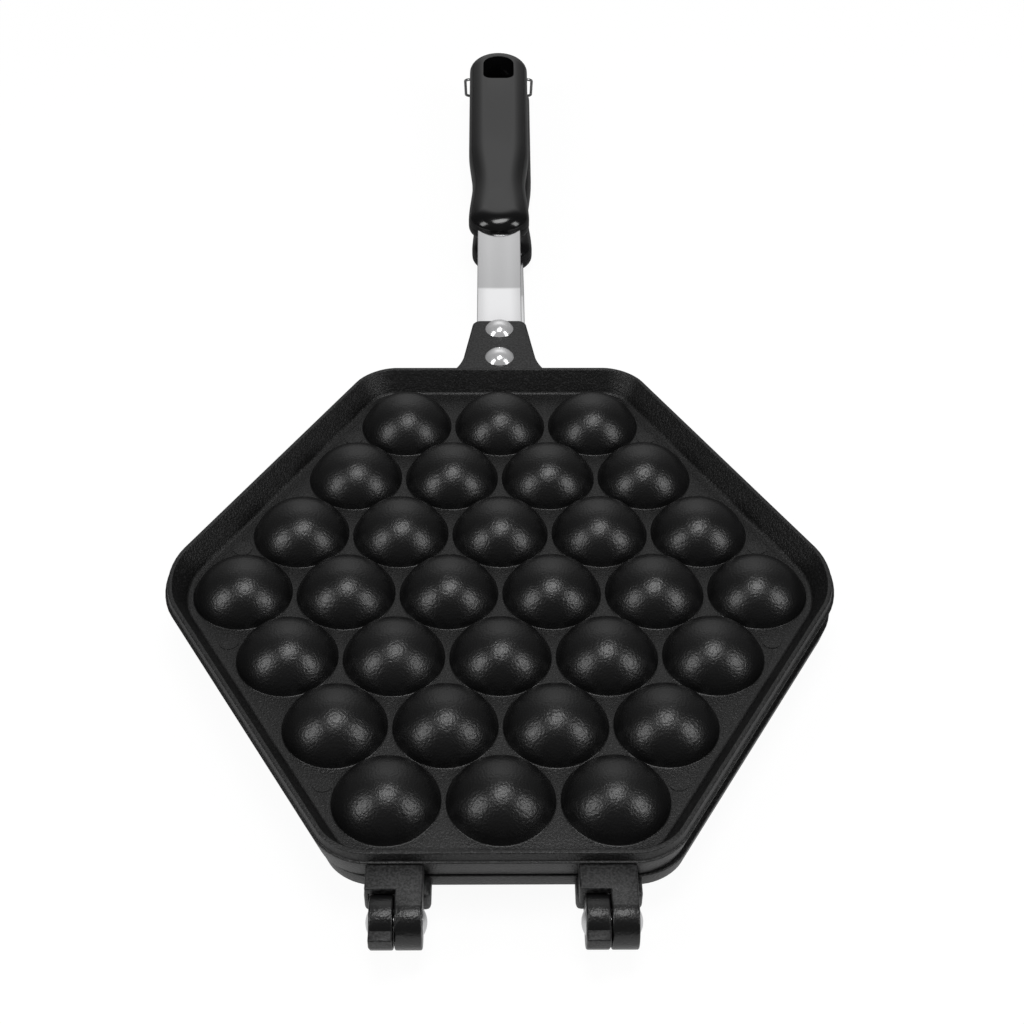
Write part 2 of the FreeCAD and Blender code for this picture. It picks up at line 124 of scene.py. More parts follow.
class CastingSizes(bpy.types.PropertyGroup):
    """Sizes of the two cast plates"""

    cup_pitch: FloatProperty(
        name="Cup Pitch", description="Spacing of the cups in a row", default=0.032, unit="LENGTH"
    )
    row_pitch: FloatProperty(
        name="Row Pitch", description="Spacing of the rows of cups", default=0.02688, unit="LENGTH"
    )
    hinge_offset: FloatProperty(
        name="Hinge Offset", description="From the front row of cups to the hinge axis",
        default=0.03726, unit="LENGTH",
    )
    dome_radius: FloatProperty(
        name="Dome Radius", description="Radius of a cup outside", default=0.0162, unit="LENGTH"
    )
    cup_radius: FloatProperty(
        name="Cup Radius", description="Radius of a cup inside", default=0.0143, unit="LENGTH"
    )
    cup_sink: FloatProperty(
        name="Cup Sink", description="How far a cup's centre lies past the parting plane",
        default=0.002, unit="LENGTH",
    )
    dome_foot: FloatProperty(
        name="Dome Foot", description="Radius of the hollow line round a dome's foot",
        default=0.0156, unit="LENGTH",
    )
    inner_level: FloatProperty(
        name="Inner Level", description="Height of the baking face over the parting plane",
        default=0.001, unit="LENGTH",
    )
    outer_level: FloatProperty(
        name="Outer Level", description="Height of the outer face over the parting plane",
        default=0.0033, unit="LENGTH",
    )
    half_gap: FloatProperty(
        name="Half Gap", description="Half of the gap between the closed plates",
        default=0.00015, unit="LENGTH",
    )
    seal_offset: FloatProperty(
        name="Seal Offset", description="Inner edge of the lip that closes the plates",
        default=0.0175, unit="LENGTH",
    )
    skirt_offset: FloatProperty(
        name="Skirt Offset", description="Lower edge of the upper plate's side",
        default=0.0222, unit="LENGTH",
    )
    ledge_offset: FloatProperty(
        name="Ledge Offset", description="Outer edge of the ledge", default=0.0243, unit="LENGTH"
    )
    ledge_height: FloatProperty(
        name="Ledge Height", description="Level of the ledge", default=0.008, unit="LENGTH"
    )
    rim_foot_offset: FloatProperty(
        name="Rim Foot Offset", description="Foot of the rim's outer side",
        default=0.02355, unit="LENGTH",
    )
    rim_offset: FloatProperty(
        name="Rim Offset", description="Outer edge of the rim's top", default=0.0232, unit="LENGTH"
    )
    rim_width: FloatProperty(
        name="Rim Width", description="Width of the rim's top", default=0.0013, unit="LENGTH"
    )
    rim_height: FloatProperty(
        name="Rim Height", description="Level of the rim's top", default=0.0109, unit="LENGTH"
    )
    tray_offset: FloatProperty(
        name="Tray Offset", description="Foot of the tray's slanted wall",
        default=0.01795, unit="LENGTH",
    )
    cove: FloatProperty(
        name="Cove", description="Width of floor set aside for the rounded foot of the tray's wall",
        default=0.0019, unit="LENGTH",
    )
    brim_offset: FloatProperty(
        name="Brim Offset", description="Top edge of the lower plate's side",
        default=0.0226, unit="LENGTH",
    )
    foot_offset: FloatProperty(
        name="Foot Offset", description="Bottom edge of the lower plate's side",
        default=0.0215, unit="LENGTH",
    )
    foot_depth: FloatProperty(
        name="Foot Depth", description="Depth of the lower plate's side", default=0.0058, unit="LENGTH"
    )
    foot_width: FloatProperty(
        name="Foot Width", description="Width of the lower plate's rim", default=0.0025, unit="LENGTH"
    )
    side_corner: FloatProperty(
        name="Side Corner", description="Radius of the two side corners", default=0.026, unit="LENGTH"
    )
    end_corner: FloatProperty(
        name="End Corner", description="Radius of the four end corners", default=0.016, unit="LENGTH"
    )
    edge_ease: FloatProperty(
        name="Edge Ease", description="Rounding of the cast edges", default=0.00035, unit="LENGTH"
    )
    dome_ease: FloatProperty(
        name="Dome Ease", description="Rounding at a dome's foot", default=0.0006, unit="LENGTH"
    )
    mouth_width: FloatProperty(
        name="Mouth Width", description="How far a mouth's eased ring reaches past the cup's radius",
        default=0.0006, unit="LENGTH",
    )
    mouth_ease: FloatProperty(
        name="Mouth Ease", description="Rounding of a cup's mouth", default=0.0004, unit="LENGTH"
    )
    mark_radius: FloatProperty(
        name="Mark Radius", description="Radius of an ejector mark", default=0.003, unit="LENGTH"
    )
    mark_height: FloatProperty(
        name="Mark Height", description="Height of an ejector mark", default=0.00018, unit="LENGTH"
    )
    end_mark_x: FloatProperty(
        name="End Mark X", description="Sideways place of the end marks", default=0.05, unit="LENGTH"
    )
    end_mark_y: FloatProperty(
        name="End Mark Y", description="Lengthwise place of the end marks",
        default=0.0743, unit="LENGTH",
    )
    side_mark_x: FloatProperty(
        name="Side Mark X", description="Sideways place of the side marks",
        default=0.0823, unit="LENGTH",
    )
    side_mark_y: FloatProperty(
        name="Side Mark Y", description="Lengthwise place of the side marks",
        default=0.0203, unit="LENGTH",
    )
    side_play: FloatProperty(
        name="Side Play", description="Sideways shift of the lower half in its hinges",
        default=0.0012, unit="LENGTH",
    )
    cup_segments: IntProperty(
        name="Cup Segments", description="Sides of a cup's rings", default=40, min=12
    )
    cup_rings: IntProperty(
        name="Cup Rings", description="Rings of the sphere that a cup is cut from", default=30, min=8
    )


class HingeSizes(bpy.types.PropertyGroup):
    """Sizes of the two hinges"""

    spacing: FloatProperty(
        name="Spacing", description="Distance between the hinges", default=0.057, unit="LENGTH"
    )
    knuckle_radius: FloatProperty(
        name="Knuckle Radius", description="Radius of the eyes", default=0.0072, unit="LENGTH"
    )
    knuckle_width: FloatProperty(
        name="Knuckle Width", description="Width of a lower eye", default=0.0064, unit="LENGTH"
    )
    ear_width: FloatProperty(
        name="Ear Width", description="Width of an upper eye", default=0.0073, unit="LENGTH"
    )
    gap: FloatProperty(name="Gap", description="Gap between the eyes", default=0.00035, unit="LENGTH")
    notch: FloatProperty(
        name="Notch", description="Clearance round the lower eye", default=0.0003, unit="LENGTH"
    )
    block_width: FloatProperty(
        name="Block Width", description="Width of the upper block", default=0.0155, unit="LENGTH"
    )
    block_front: FloatProperty(
        name="Block Front", description="From the axis to the upper block's front",
        default=0.0054, unit="LENGTH",
    )
    lower_width: FloatProperty(
        name="Lower Width", description="Width of the lower block", default=0.018, unit="LENGTH"
    )
    lower_shift: FloatProperty(
        name="Lower Shift", description="Sideways place of the lower block",
        default=0.0006, unit="LENGTH",
    )
    lower_front: FloatProperty(
        name="Lower Front", description="From the axis to the lower block's front",
        default=0.0084, unit="LENGTH",
    )
    lower_depth: FloatProperty(
        name="Lower Depth", description="Depth of the lower block", default=0.0074, unit="LENGTH"
    )
    lower_ease: FloatProperty(
        name="Lower Ease", description="Rounding of the lower block", default=0.0014, unit="LENGTH"
    )
    lug_height: FloatProperty(
        name="Lug Height", description="Level of the stop lug's top", default=0.0045, unit="LENGTH"
    )
    lug_foot: FloatProperty(
        name="Lug Foot", description="Level of the stop lug's foot", default=0.0006, unit="LENGTH"
    )
    lug_reach: FloatProperty(
        name="Lug Reach", description="From the axis to the lug's front", default=0.0087, unit="LENGTH"
    )
    lug_root: FloatProperty(
        name="Lug Root", description="From the axis to the lug's root", default=0.003, unit="LENGTH"
    )
    pin_radius: FloatProperty(
        name="Pin Radius", description="Radius of a pin's shank", default=0.0023, unit="LENGTH"
    )
    head_radius: FloatProperty(
        name="Head Radius", description="Radius of a pin's head", default=0.0035, unit="LENGTH"
    )
    head_height: FloatProperty(
        name="Head Height", description="Height of a pin's head", default=0.0011, unit="LENGTH"
    )
    join_step: FloatProperty(
        name="Join Step", description="Keeps the faces of joined shapes from lying in one plane",
        default=0.00002, unit="LENGTH",
    )
    ease: FloatProperty(
        name="Ease", description="Rounding of the hinges' edges", default=0.0005, unit="LENGTH"
    )


class HandleSizes(bpy.types.PropertyGroup):
    """Sizes of the tabs, straps, rivets, grips and the latch ring"""

    tab_length: FloatProperty(
        name="Tab Length", description="Length of a tab", default=0.0325, unit="LENGTH"
    )
    tab_base: FloatProperty(
        name="Tab Base", description="Width of a tab's flared root", default=0.038, unit="LENGTH"
    )
    tab_waist: FloatProperty(
        name="Tab Waist", description="Width of a tab past its flare", default=0.0268, unit="LENGTH"
    )
    tab_tip: FloatProperty(
        name="Tab Tip", description="Width of a tab's tip", default=0.0188, unit="LENGTH"
    )
    tab_corner: FloatProperty(
        name="Tab Corner", description="Rounding of a tab's tip", default=0.0025, unit="LENGTH"
    )
    tab_flare: FloatProperty(
        name="Tab Flare", description="Length of the flare at a tab's root",
        default=0.0074, unit="LENGTH",
    )
    tab_ease: FloatProperty(
        name="Tab Ease", description="Rounding of a tab's upper edges", default=0.0007, unit="LENGTH"
    )
    strap_width: FloatProperty(
        name="Strap Width", description="Width of a strap", default=0.0166, unit="LENGTH"
    )
    strap_thickness: FloatProperty(
        name="Strap Thickness", description="Thickness of a strap", default=0.0025, unit="LENGTH"
    )
    strap_clearance: FloatProperty(
        name="Strap Clearance", description="From a strap to the parting plane",
        default=0.0003, unit="LENGTH",
    )
    strap_bend: FloatProperty(
        name="Strap Bend", description="From the last row of cups to a strap's bend",
        default=0.0814, unit="LENGTH",
    )
    bend_ease: FloatProperty(
        name="Bend Ease", description="Rounding of a strap's bends", default=0.0009, unit="LENGTH"
    )
    strap_ease: FloatProperty(
        name="Strap Ease", description="Rounding of a strap's edges", default=0.0004, unit="LENGTH"
    )
    rivet_inner: FloatProperty(
        name="Rivet Inner", description="From the last row to the inner rivet",
        default=0.0331, unit="LENGTH",
    )
    rivet_outer: FloatProperty(
        name="Rivet Outer", description="From the last row to the outer rivet",
        default=0.0496, unit="LENGTH",
    )
    rivet_radius: FloatProperty(
        name="Rivet Radius", description="Radius of a rivet's head", default=0.0051, unit="LENGTH"
    )
    tail_rise: FloatProperty(
        name="Tail Rise", description="How far a rivet's tail stands proud",
        default=0.0001, unit="LENGTH",
    )
    rivet_height: FloatProperty(
        name="Rivet Height", description="Height of a rivet's head", default=0.0028, unit="LENGTH"
    )
    grip_edge: FloatProperty(
        name="Grip Edge", description="Height of a grip's rounded edges", default=0.0056, unit="LENGTH"
    )
    grip_edge_width: FloatProperty(
        name="Grip Edge Width", description="Width of a grip's rounded edges",
        default=0.0072, unit="LENGTH",
    )
    nose_width: FloatProperty(
        name="Nose Width", description="Width of a grip's nose", default=0.0238, unit="LENGTH"
    )
    nose_length: FloatProperty(
        name="Nose Length", description="Length of a grip's rounded nose", default=0.0095, unit="LENGTH"
    )
    nose_slope: FloatProperty(
        name="Nose Slope", description="Length over which a grip's faces sink towards its nose",
        default=0.013, unit="LENGTH",
    )
    nose_drop_share: FloatProperty(
        name="Nose Drop", description="Share of the height lost at the nose", default=0.14
    )
    waist_width: FloatProperty(
        name="Waist Width", description="Width of a grip's waist", default=0.0212, unit="LENGTH"
    )
    waist_at: FloatProperty(
        name="Waist At", description="From a grip's nose to its waist", default=0.0325, unit="LENGTH"
    )
    shank_at: FloatProperty(
        name="Shank At", description="From a grip's nose to its shank", default=0.06, unit="LENGTH"
    )
    shank_width: FloatProperty(
        name="Shank Width", description="Width of a grip's shank", default=0.0246, unit="LENGTH"
    )
    slot_width: FloatProperty(
        name="Slot Width", description="Width of the hanging slot", default=0.0132, unit="LENGTH"
    )
    slot_length: FloatProperty(
        name="Slot Length", description="Length of the hanging slot", default=0.0192, unit="LENGTH"
    )
    slot_wall: FloatProperty(
        name="Slot Wall", description="Wall behind the hanging slot", default=0.0078, unit="LENGTH"
    )
    slot_corner: FloatProperty(
        name="Slot Corner", description="Rounding of the slot's near corners",
        default=0.0035, unit="LENGTH",
    )
    slot_ease: FloatProperty(
        name="Slot Ease", description="Rounding of the slot's edges", default=0.0009, unit="LENGTH"
    )
    seam: FloatProperty(
        name="Seam", description="Depth of the mould line round a grip", default=0.00012, unit="LENGTH"
    )
    wire_radius: FloatProperty(
        name="Wire Radius", description="Radius of the ring's wire", default=0.0006, unit="LENGTH"
    )
    ring_side: FloatProperty(
        name="Ring Side", description="From the grip's middle to a leg", default=0.0147, unit="LENGTH"
    )
    ring_end: FloatProperty(
        name="Ring End", description="From the grip's middle to a wire end",
        default=0.0097, unit="LENGTH",
    )
    ring_reach: FloatProperty(
        name="Ring Reach", description="From the ring's axis to its crossbar",
        default=0.0225, unit="LENGTH",
    )
    ring_bend: FloatProperty(
        name="Ring Bend", description="Radius of the ring's bends", default=0.0024, unit="LENGTH"
    )
    ring_stand_off: FloatProperty(
        name="Ring Stand Off", description="From the lower grip's end to the ring's crossbar",
        default=0.00165, unit="LENGTH",
    )


class Finishes(bpy.types.PropertyGroup):
    """Colours and gloss of the materials"""

    dome_colour: FloatVectorProperty(
        name="Dome Colour", description="Coating on the cups",
        default=(0.0042, 0.0042, 0.0044), subtype="COLOR",
    )
    dome_roughness: FloatProperty(
        name="Dome Roughness", description="Roughness of the cups", default=0.32, min=0, max=1
    )
    cast_colour: FloatVectorProperty(
        name="Cast Colour", description="Coating on the plates",
        default=(0.0042, 0.0042, 0.0043), subtype="COLOR",
    )
    cast_roughness: FloatProperty(
        name="Cast Roughness", description="Roughness of the plates", default=0.42, min=0, max=1
    )
    steel_colour: FloatVectorProperty(
        name="Steel Colour", description="Steel of the straps",
        default=(0.86, 0.86, 0.87), subtype="COLOR",
    )
    chrome_colour: FloatVectorProperty(
        name="Chrome Colour", description="Rivets and pins", default=(0.95, 0.95, 0.96), subtype="COLOR"
    )
    grip_colour: FloatVectorProperty(
        name="Grip Colour", description="Phenolic of the grips",
        default=(0.004, 0.004, 0.0043), subtype="COLOR",
    )
    peel_depth: FloatProperty(
        name="Peel Depth", description="Depth of the cups' peel", default=0.0001, unit="LENGTH"
    )
    grain_depth: FloatProperty(
        name="Grain Depth", description="Depth of the plates' grain", default=0.0002, unit="LENGTH"
    )
    sand_depth: FloatProperty(
        name="Sand Depth", description="Depth of the rough skin", default=0.00016, unit="LENGTH"
    )
    steel_depth: FloatProperty(
        name="Steel Depth", description="Depth of marks in steel", default=0.00002, unit="LENGTH"
    )
    resin_depth: FloatProperty(
        name="Resin Depth", description="Depth of the grips' grain", default=0.00005, unit="LENGTH"
    )
    peel_cells: FloatProperty(
        name="Peel Cells", description="Cells of the cups' peel in a metre", default=1400
    )
    cast_cells: FloatProperty(
        name="Cast Cells", description="Cells of the plates' grain in a metre", default=1500
    )
    lump_cells: FloatProperty(
        name="Lump Cells", description="Lumps of the rough skin in a metre", default=900
    )
    line_cells: FloatProperty(
        name="Line Cells", description="Drawing lines of the straps in a metre", default=2600
    )
    mark_cells: FloatProperty(
        name="Mark Cells", description="Marks of the plating in a metre", default=700
    )
    resin_cells: FloatProperty(
        name="Resin Cells", description="Cells of the grips' grain in a metre", default=1900
    )
    cup_clouds: FloatProperty(
        name="Cup Clouds", description="Uneven patches of the cups in a metre", default=60
    )
    cast_clouds: FloatProperty(
        name="Cast Clouds", description="Uneven patches of the plates in a metre", default=90
    )
    steel_clouds: FloatProperty(
        name="Steel Clouds", description="Smears on the straps in a metre", default=55
    )
    resin_clouds: FloatProperty(
        name="Resin Clouds", description="Uneven patches of the grips in a metre", default=45
    )
    grip_roughness: FloatProperty(
        name="Grip Roughness", description="Roughness of the grips", default=0.15, min=0, max=1
    )


class StageSettings(bpy.types.PropertyGroup):
    """Lights, floor and camera"""

    camera_place: FloatVectorProperty(
        name="Camera Place", description="Camera over the parting plane, from the middle of the cups",
        default=(-0.0012, -0.38298, 0.39543), subtype="TRANSLATION", unit="LENGTH",
    )
    camera_pitch: FloatProperty(
        name="Pitch", description="How far down it looks", default=math.radians(43.01), subtype="ANGLE"
    )
    camera_yaw: FloatProperty(
        name="Yaw", description="Turn to the left", default=math.radians(-0.7), subtype="ANGLE"
    )
    camera_roll: FloatProperty(
        name="Roll", description="Turn about its own axis", default=math.radians(0.4), subtype="ANGLE"
    )
    focal_length: FloatProperty(name="Focal Length", description="In millimetres", default=61.7)
    film_width: FloatProperty(name="Film Width", description="In millimetres", default=36)
    floor_reach: FloatProperty(
        name="Floor Reach", description="From the floor's middle to its edge", default=4, unit="LENGTH"
    )
    lamp_distance: FloatProperty(
        name="Lamp Distance", description="From the pan to each lamp", default=1.15, unit="LENGTH"
    )
    top_width: FloatProperty(
        name="Top Width", description="Width of the lamp overhead", default=0.6, unit="LENGTH"
    )
    top_height: FloatProperty(
        name="Top Height", description="Length of the lamp overhead", default=0.38, unit="LENGTH"
    )
    side_width: FloatProperty(
        name="Side Width", description="Width of each side lamp", default=0.3, unit="LENGTH"
    )
    side_height: FloatProperty(
        name="Side Height", description="Height of each side lamp", default=0.62, unit="LENGTH"
    )
    top_power: FloatProperty(name="Top Power", description="Power of the lamp overhead", default=4.6)
    side_power: FloatProperty(name="Side Power", description="Power of each side lamp", default=3.5)


class PanSettings(bpy.types.PropertyGroup):
    """Everything a user may change"""

    casting: PointerProperty(type=CastingSizes, name="Castings", description="Sizes of the plates")
    hinge: PointerProperty(type=HingeSizes, name="Hinges", description="Sizes of the hinges")
    handle: PointerProperty(type=HandleSizes, name="Handles", description="Sizes of the handles")
    finish: PointerProperty(type=Finishes, name="Finishes", description="Colours and gloss")
    stage: PointerProperty(type=StageSettings, name="Stage", description="Lights and camera")


class Value:
    """An output socket that Python's arithmetic turns into Math nodes"""

    def __init__(self, paint, socket):
        self.paint = paint
        self.socket = socket

    def _math(self, operation, first, second):
        return self.paint.add("ShaderNodeMath", {"operation": operation}, {0: first, 1: second})

    def __add__(self, other):
        return self._math("ADD", self, other)

    __radd__ = __add__

    def __sub__(self, other):
        return self._math("SUBTRACT", self, other)

    def __rsub__(self, other):
        return self._math("SUBTRACT", other, self)

    def __mul__(self, other):
        return self._math("MULTIPLY", self, other)

    __rmul__ = __mul__

    def __abs__(self):
        return self.paint.add("ShaderNodeMath", {"operation": "ABSOLUTE"}, {0: self})


class Paint:
    """One material's or the world's nodes"""

    def __init__(self, owner):
        owner.use_nodes = True
        self.tree = owner.node_tree
        self.tree.nodes.clear()

    def add(self, kind, options=None, sockets=None, output=0):
        """Adds a node: its options first, then socket values or links; gives one output."""
        node = self.tree.nodes.new(kind)
        for name, value in (options or {}).items():
            if name == "stops":
                self._set_stops(node, value)
            else:
                setattr(node, name, value)
        for name, value in (sockets or {}).items():
            if isinstance(value, Value):
                self.tree.links.new(value.socket, node.inputs[name])
            else:
                node.inputs[name].default_value = value
        return Value(self, node.outputs[output]) if node.outputs else node

    @staticmethod
    def _set_stops(node, stops):
        elements = node.color_ramp.elements
        for index, (place, level) in enumerate(stops):
            element = elements[index] if index < len(elements) else elements.new(place)
            element.position = place
            element.color = (level, level, level, 1)

    def place(self, stretch=(1, 1, 1)):
        """Object coordinates, stretched."""
        coordinates = self.add("ShaderNodeTexCoord", output="Object")
        return self.add("ShaderNodeMapping", None, {"Vector": coordinates, "Scale": stretch})

    def noise(self, vector, scale, detail=2.0, roughness=0.5):
        """Noise between 0 and 1."""
        sockets = {"Vector": vector, "Scale": scale, "Detail": detail, "Roughness": roughness}
        return self.add("ShaderNodeTexNoise", None, sockets)

    def ramp(self, factor, stops):
        """A grey ramp."""
        return self.add("ShaderNodeValToRGB", {"stops": stops}, {"Fac": factor})

    def bump(self, height, strength, distance):
        """Normals from a height."""
        sockets = {"Height": height, "Strength": strength, "Distance": distance}
        return self.add("ShaderNodeBump", None, sockets)

    def shades(self, factor, rgb, dark_share, light_share):
        """Two shades of a colour mixed by a factor."""
        sockets = {0: factor, 6: shade(rgb, dark_share), 7: shade(rgb, light_share)}
        return self.add("ShaderNodeMix", {"data_type": "RGBA"}, sockets, output=2)

    def surface(self, sockets):
        """Ends the material in one Principled shader."""
        shader = self.add("ShaderNodeBsdfPrincipled", None, sockets)
        self.add("ShaderNodeOutputMaterial", None, {"Surface": shader})


def shade(rgb, share):
    """A colour with alpha, made lighter or darker."""
    return tuple(channel * share for channel in rgb) + (1.0,)


def cup_coat(paint, finish):
    """Smooth dark non-stick coating on the cups, with a fine orange peel."""
    place = paint.place()
    peel = paint.noise(place, finish.peel_cells, 1.0)
    cloud = paint.noise(place, finish.cup_clouds, 3.0)
    paint.surface({
        "Base Color": paint.shades(cloud, finish.dome_colour, 0.8, 1.25),
        "Roughness": (cloud - 0.5) * 0.08 + finish.dome_roughness,
        "Specular IOR Level": 0.5,
        "Normal": paint.bump(peel, 1.0, finish.peel_depth),
    })


def cast_coat(paint, finish):
    """Matte coating on the flat cast faces, with a fine grain."""
    place = paint.place()
    grain = paint.noise(place, finish.cast_cells, 2.0, 0.6)
    cloud = paint.noise(place, finish.cast_clouds, 3.0)
    fleck = paint.ramp(grain, [(0.5, 0.0), (0.66, 1.0)])
    paint.surface({
        "Base Color": paint.shades(fleck, finish.cast_colour, 0.4, 4.0),
        "Roughness": (cloud - 0.5) * 0.1 + finish.cast_roughness,
        "Specular IOR Level": 0.5,
        "Normal": paint.bump(grain, 1.0, finish.grain_depth),
    })


def sand_coat(paint, finish):
    """The same coating over the rough sand-cast skin of hinges and tabs."""
    place = paint.place()
    grain = paint.noise(place, finish.cast_cells, 3.0, 0.6)
    lumps = paint.noise(place, finish.lump_cells, 2.0)
    fleck = paint.ramp(grain, [(0.42, 0.0), (0.6, 1.0)])
    paint.surface({
        "Base Color": paint.shades(fleck, finish.cast_colour, 0.1, 6.3),
        "Roughness": (lumps - 0.5) * 0.2 + (finish.cast_roughness + 0.04),
        "Specular IOR Level": 0.5,
        "Normal": paint.bump(grain * 0.7 + lumps * 0.5, 0.7, finish.sand_depth),
    })


def strap_steel(paint, finish):
    """Polished strip steel with faint lengthwise drawing lines."""
    lines = paint.noise(paint.place((1, LINE_SHARE, 1)), finish.line_cells, 3.0, 0.6)
    smear = paint.noise(paint.place(), finish.steel_clouds, 2.0)
    paint.surface({
        "Base Color": paint.shades(lines, finish.steel_colour, 0.94, 1.0),
        "Metallic": 1.0,
        "Roughness": lines * 0.05 + smear * 0.04 + 0.09,
        "Normal": paint.bump(lines, 0.05, finish.steel_depth),
    })


def plating(paint, finish, metallic, share):
    """Mirror-bright plating, barely marked; a share below one darkens its colour as painted shade."""
    marks = paint.noise(paint.place(), finish.mark_cells, 3.0, 0.6)
    paint.surface({
        "Base Color": paint.shades(marks, finish.chrome_colour, 0.93 * share, share),
        "Metallic": metallic,
        "Roughness": marks * 0.08 + 0.14,
        "Normal": paint.bump(marks, 0.04, finish.steel_depth),
    })


def rivet_steel(paint, finish):
    """Plating of the rivets, with a soft white body."""
    plating(paint, finish, 0.55, 1.0)


def shaded_pin_steel(paint, finish):
    """Plating of the pins and the wire ring, its colour darkened to 0.62 of the chrome as painted shade.
    """
    plating(paint, finish, 1.0, 0.62)


def grip_resin(paint, finish):
    """Satin black moulded phenolic with a very fine even grain."""
    place = paint.place()
    grain = paint.noise(place, finish.resin_cells, 2.0)
    cloud = paint.noise(place, finish.resin_clouds, 3.0)
    paint.surface({
        "Base Color": paint.shades(cloud, finish.grip_colour, 0.85, 1.25),
        "Roughness": (cloud - 0.5) * 0.06 + finish.grip_roughness,
        "Specular IOR Level": 0.5,
        "Normal": paint.bump(grain, 0.12, finish.resin_depth),
    })


def settings():
    """The pan's settings in this scene."""
    return bpy.context.scene.waffle_pan


def finished(maker):
    """The material that a maker paints, named after it and made on first use."""
    material = bpy.data.materials.get(maker.__name__)
    if material is None:
        material = bpy.data.materials.new(maker.__name__)
        maker(Paint(material), settings().finish)
    return material


def put(bm, name, materials, body, slot, *nodes):
    """Turns a bmesh into a finished piece that replaces CAD nodes."""
    if not bm.faces:
        raise RuntimeError(name + " has no faces")
    bmesh.ops.remove_doubles(bm, verts=bm.verts, dist=MERGE_DISTANCE)
    bmesh.ops.recalc_face_normals(bm, faces=bm.faces)
    mesh = bpy.data.meshes.new(name)
    bm.to_mesh(mesh)
    bm.free()
    piece = bpy.data.objects.new(name, mesh)
    bpy.context.collection.objects.link(piece)
    for each in materials:
        mesh.materials.append(each)
    smooth_by_angle(mesh)
    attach(piece, body)
    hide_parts(*nodes)


def smooth_by_angle(mesh):
    """Smooths faces with sharp edges where they meet steeply."""
    bm = bmesh.new()
    bm.from_mesh(mesh)
    for face in bm.faces:
        face.smooth = True
    for edge in bm.edges:
        edge.smooth = len(edge.link_faces) != 2 or edge.calc_face_angle(0) < SMOOTH_ANGLE
    bm.to_mesh(mesh)
    bm.free()


def cut(bm, cutter, operation="DIFFERENCE"):
    """Cuts one closed bmesh by another, or joins them, and gives the result."""
    objects = []
    for each in (bm, cutter):
        bmesh.ops.recalc_face_normals(each, faces=each.faces)
        mesh = bpy.data.meshes.new("work")
        each.to_mesh(mesh)
        each.free()
        work = bpy.data.objects.new("work", mesh)
        bpy.context.collection.objects.link(work)
        objects.append(work)
    target, tool = objects
    modifier = target.modifiers.new("cut", "BOOLEAN")
    modifier.object = tool
    modifier.operation = operation
    modifier.solver = "EXACT"
    result = bmesh.new()
    result.from_object(target, bpy.context.evaluated_depsgraph_get())
    for work in objects:
        mesh = work.data
        bpy.data.objects.remove(work)
        bpy.data.meshes.remove(mesh)
    return result


def everything(bm):
    """All the geometry of a bmesh."""
    return bm.verts[:] + bm.edges[:] + bm.faces[:]


def new_verts(grown):
    """The vertices among what an extrusion made."""
    return [item for item in grown if isinstance(item, bmesh.types.BMVert)]


def ease_edges(bm, edges, width, segments=3):
    """Rounds edges."""
    bmesh.ops.bevel(
        bm, geom=list(edges), offset=width, offset_type="OFFSET", segments=segments, profile=0.5,
        affect="EDGES", clamp_overlap=True, material=-1,
    )


def round_corners(bm, verts, width, segments):
    """Rounds the corners of a flat face."""
    bmesh.ops.bevel(
        bm, geom=list(verts), offset=width, offset_type="OFFSET", segments=segments, profile=0.5,
        affect="VERTICES", material=-1,
    )


def mirrored(bm, axis):
    """Adds the mirror image of a half to it."""
    bmesh.ops.mirror(
        bm, geom=everything(bm), matrix=Matrix.Identity(4), merge_dist=JOIN_DISTANCE, axis=axis
    )
    bmesh.ops.recalc_face_normals(bm, faces=bm.faces)


def eased(profile, radius, steps=3):
    """An (offset, level) profile with its inner corners rounded."""
    points = [Vector(profile[0])]
    for before, corner, after in zip(profile, profile[1:], profile[2:]):
        before, corner, after = Vector(before), Vector(corner), Vector(after)
        back = (before - corner).normalized()
        on = (after - corner).normalized()
        half = back.angle(on) / 2
        side = min((before - corner).length, (after - corner).length)
        own = min(radius, CORNER_SHARE * math.tan(half) * side)
        reach = own / math.tan(half)
        middle = corner + (back + on).normalized() * own / math.sin(half)
        start = corner + back * reach
        turn = (start - middle).angle_signed(corner + on * reach - middle)
        for step in range(steps + 1):
            arm = start - middle
            arm.rotate(Matrix.Rotation(-turn * step / steps, 2))
            points.append(middle + arm)
    points.append(Vector(profile[-1]))
    return points


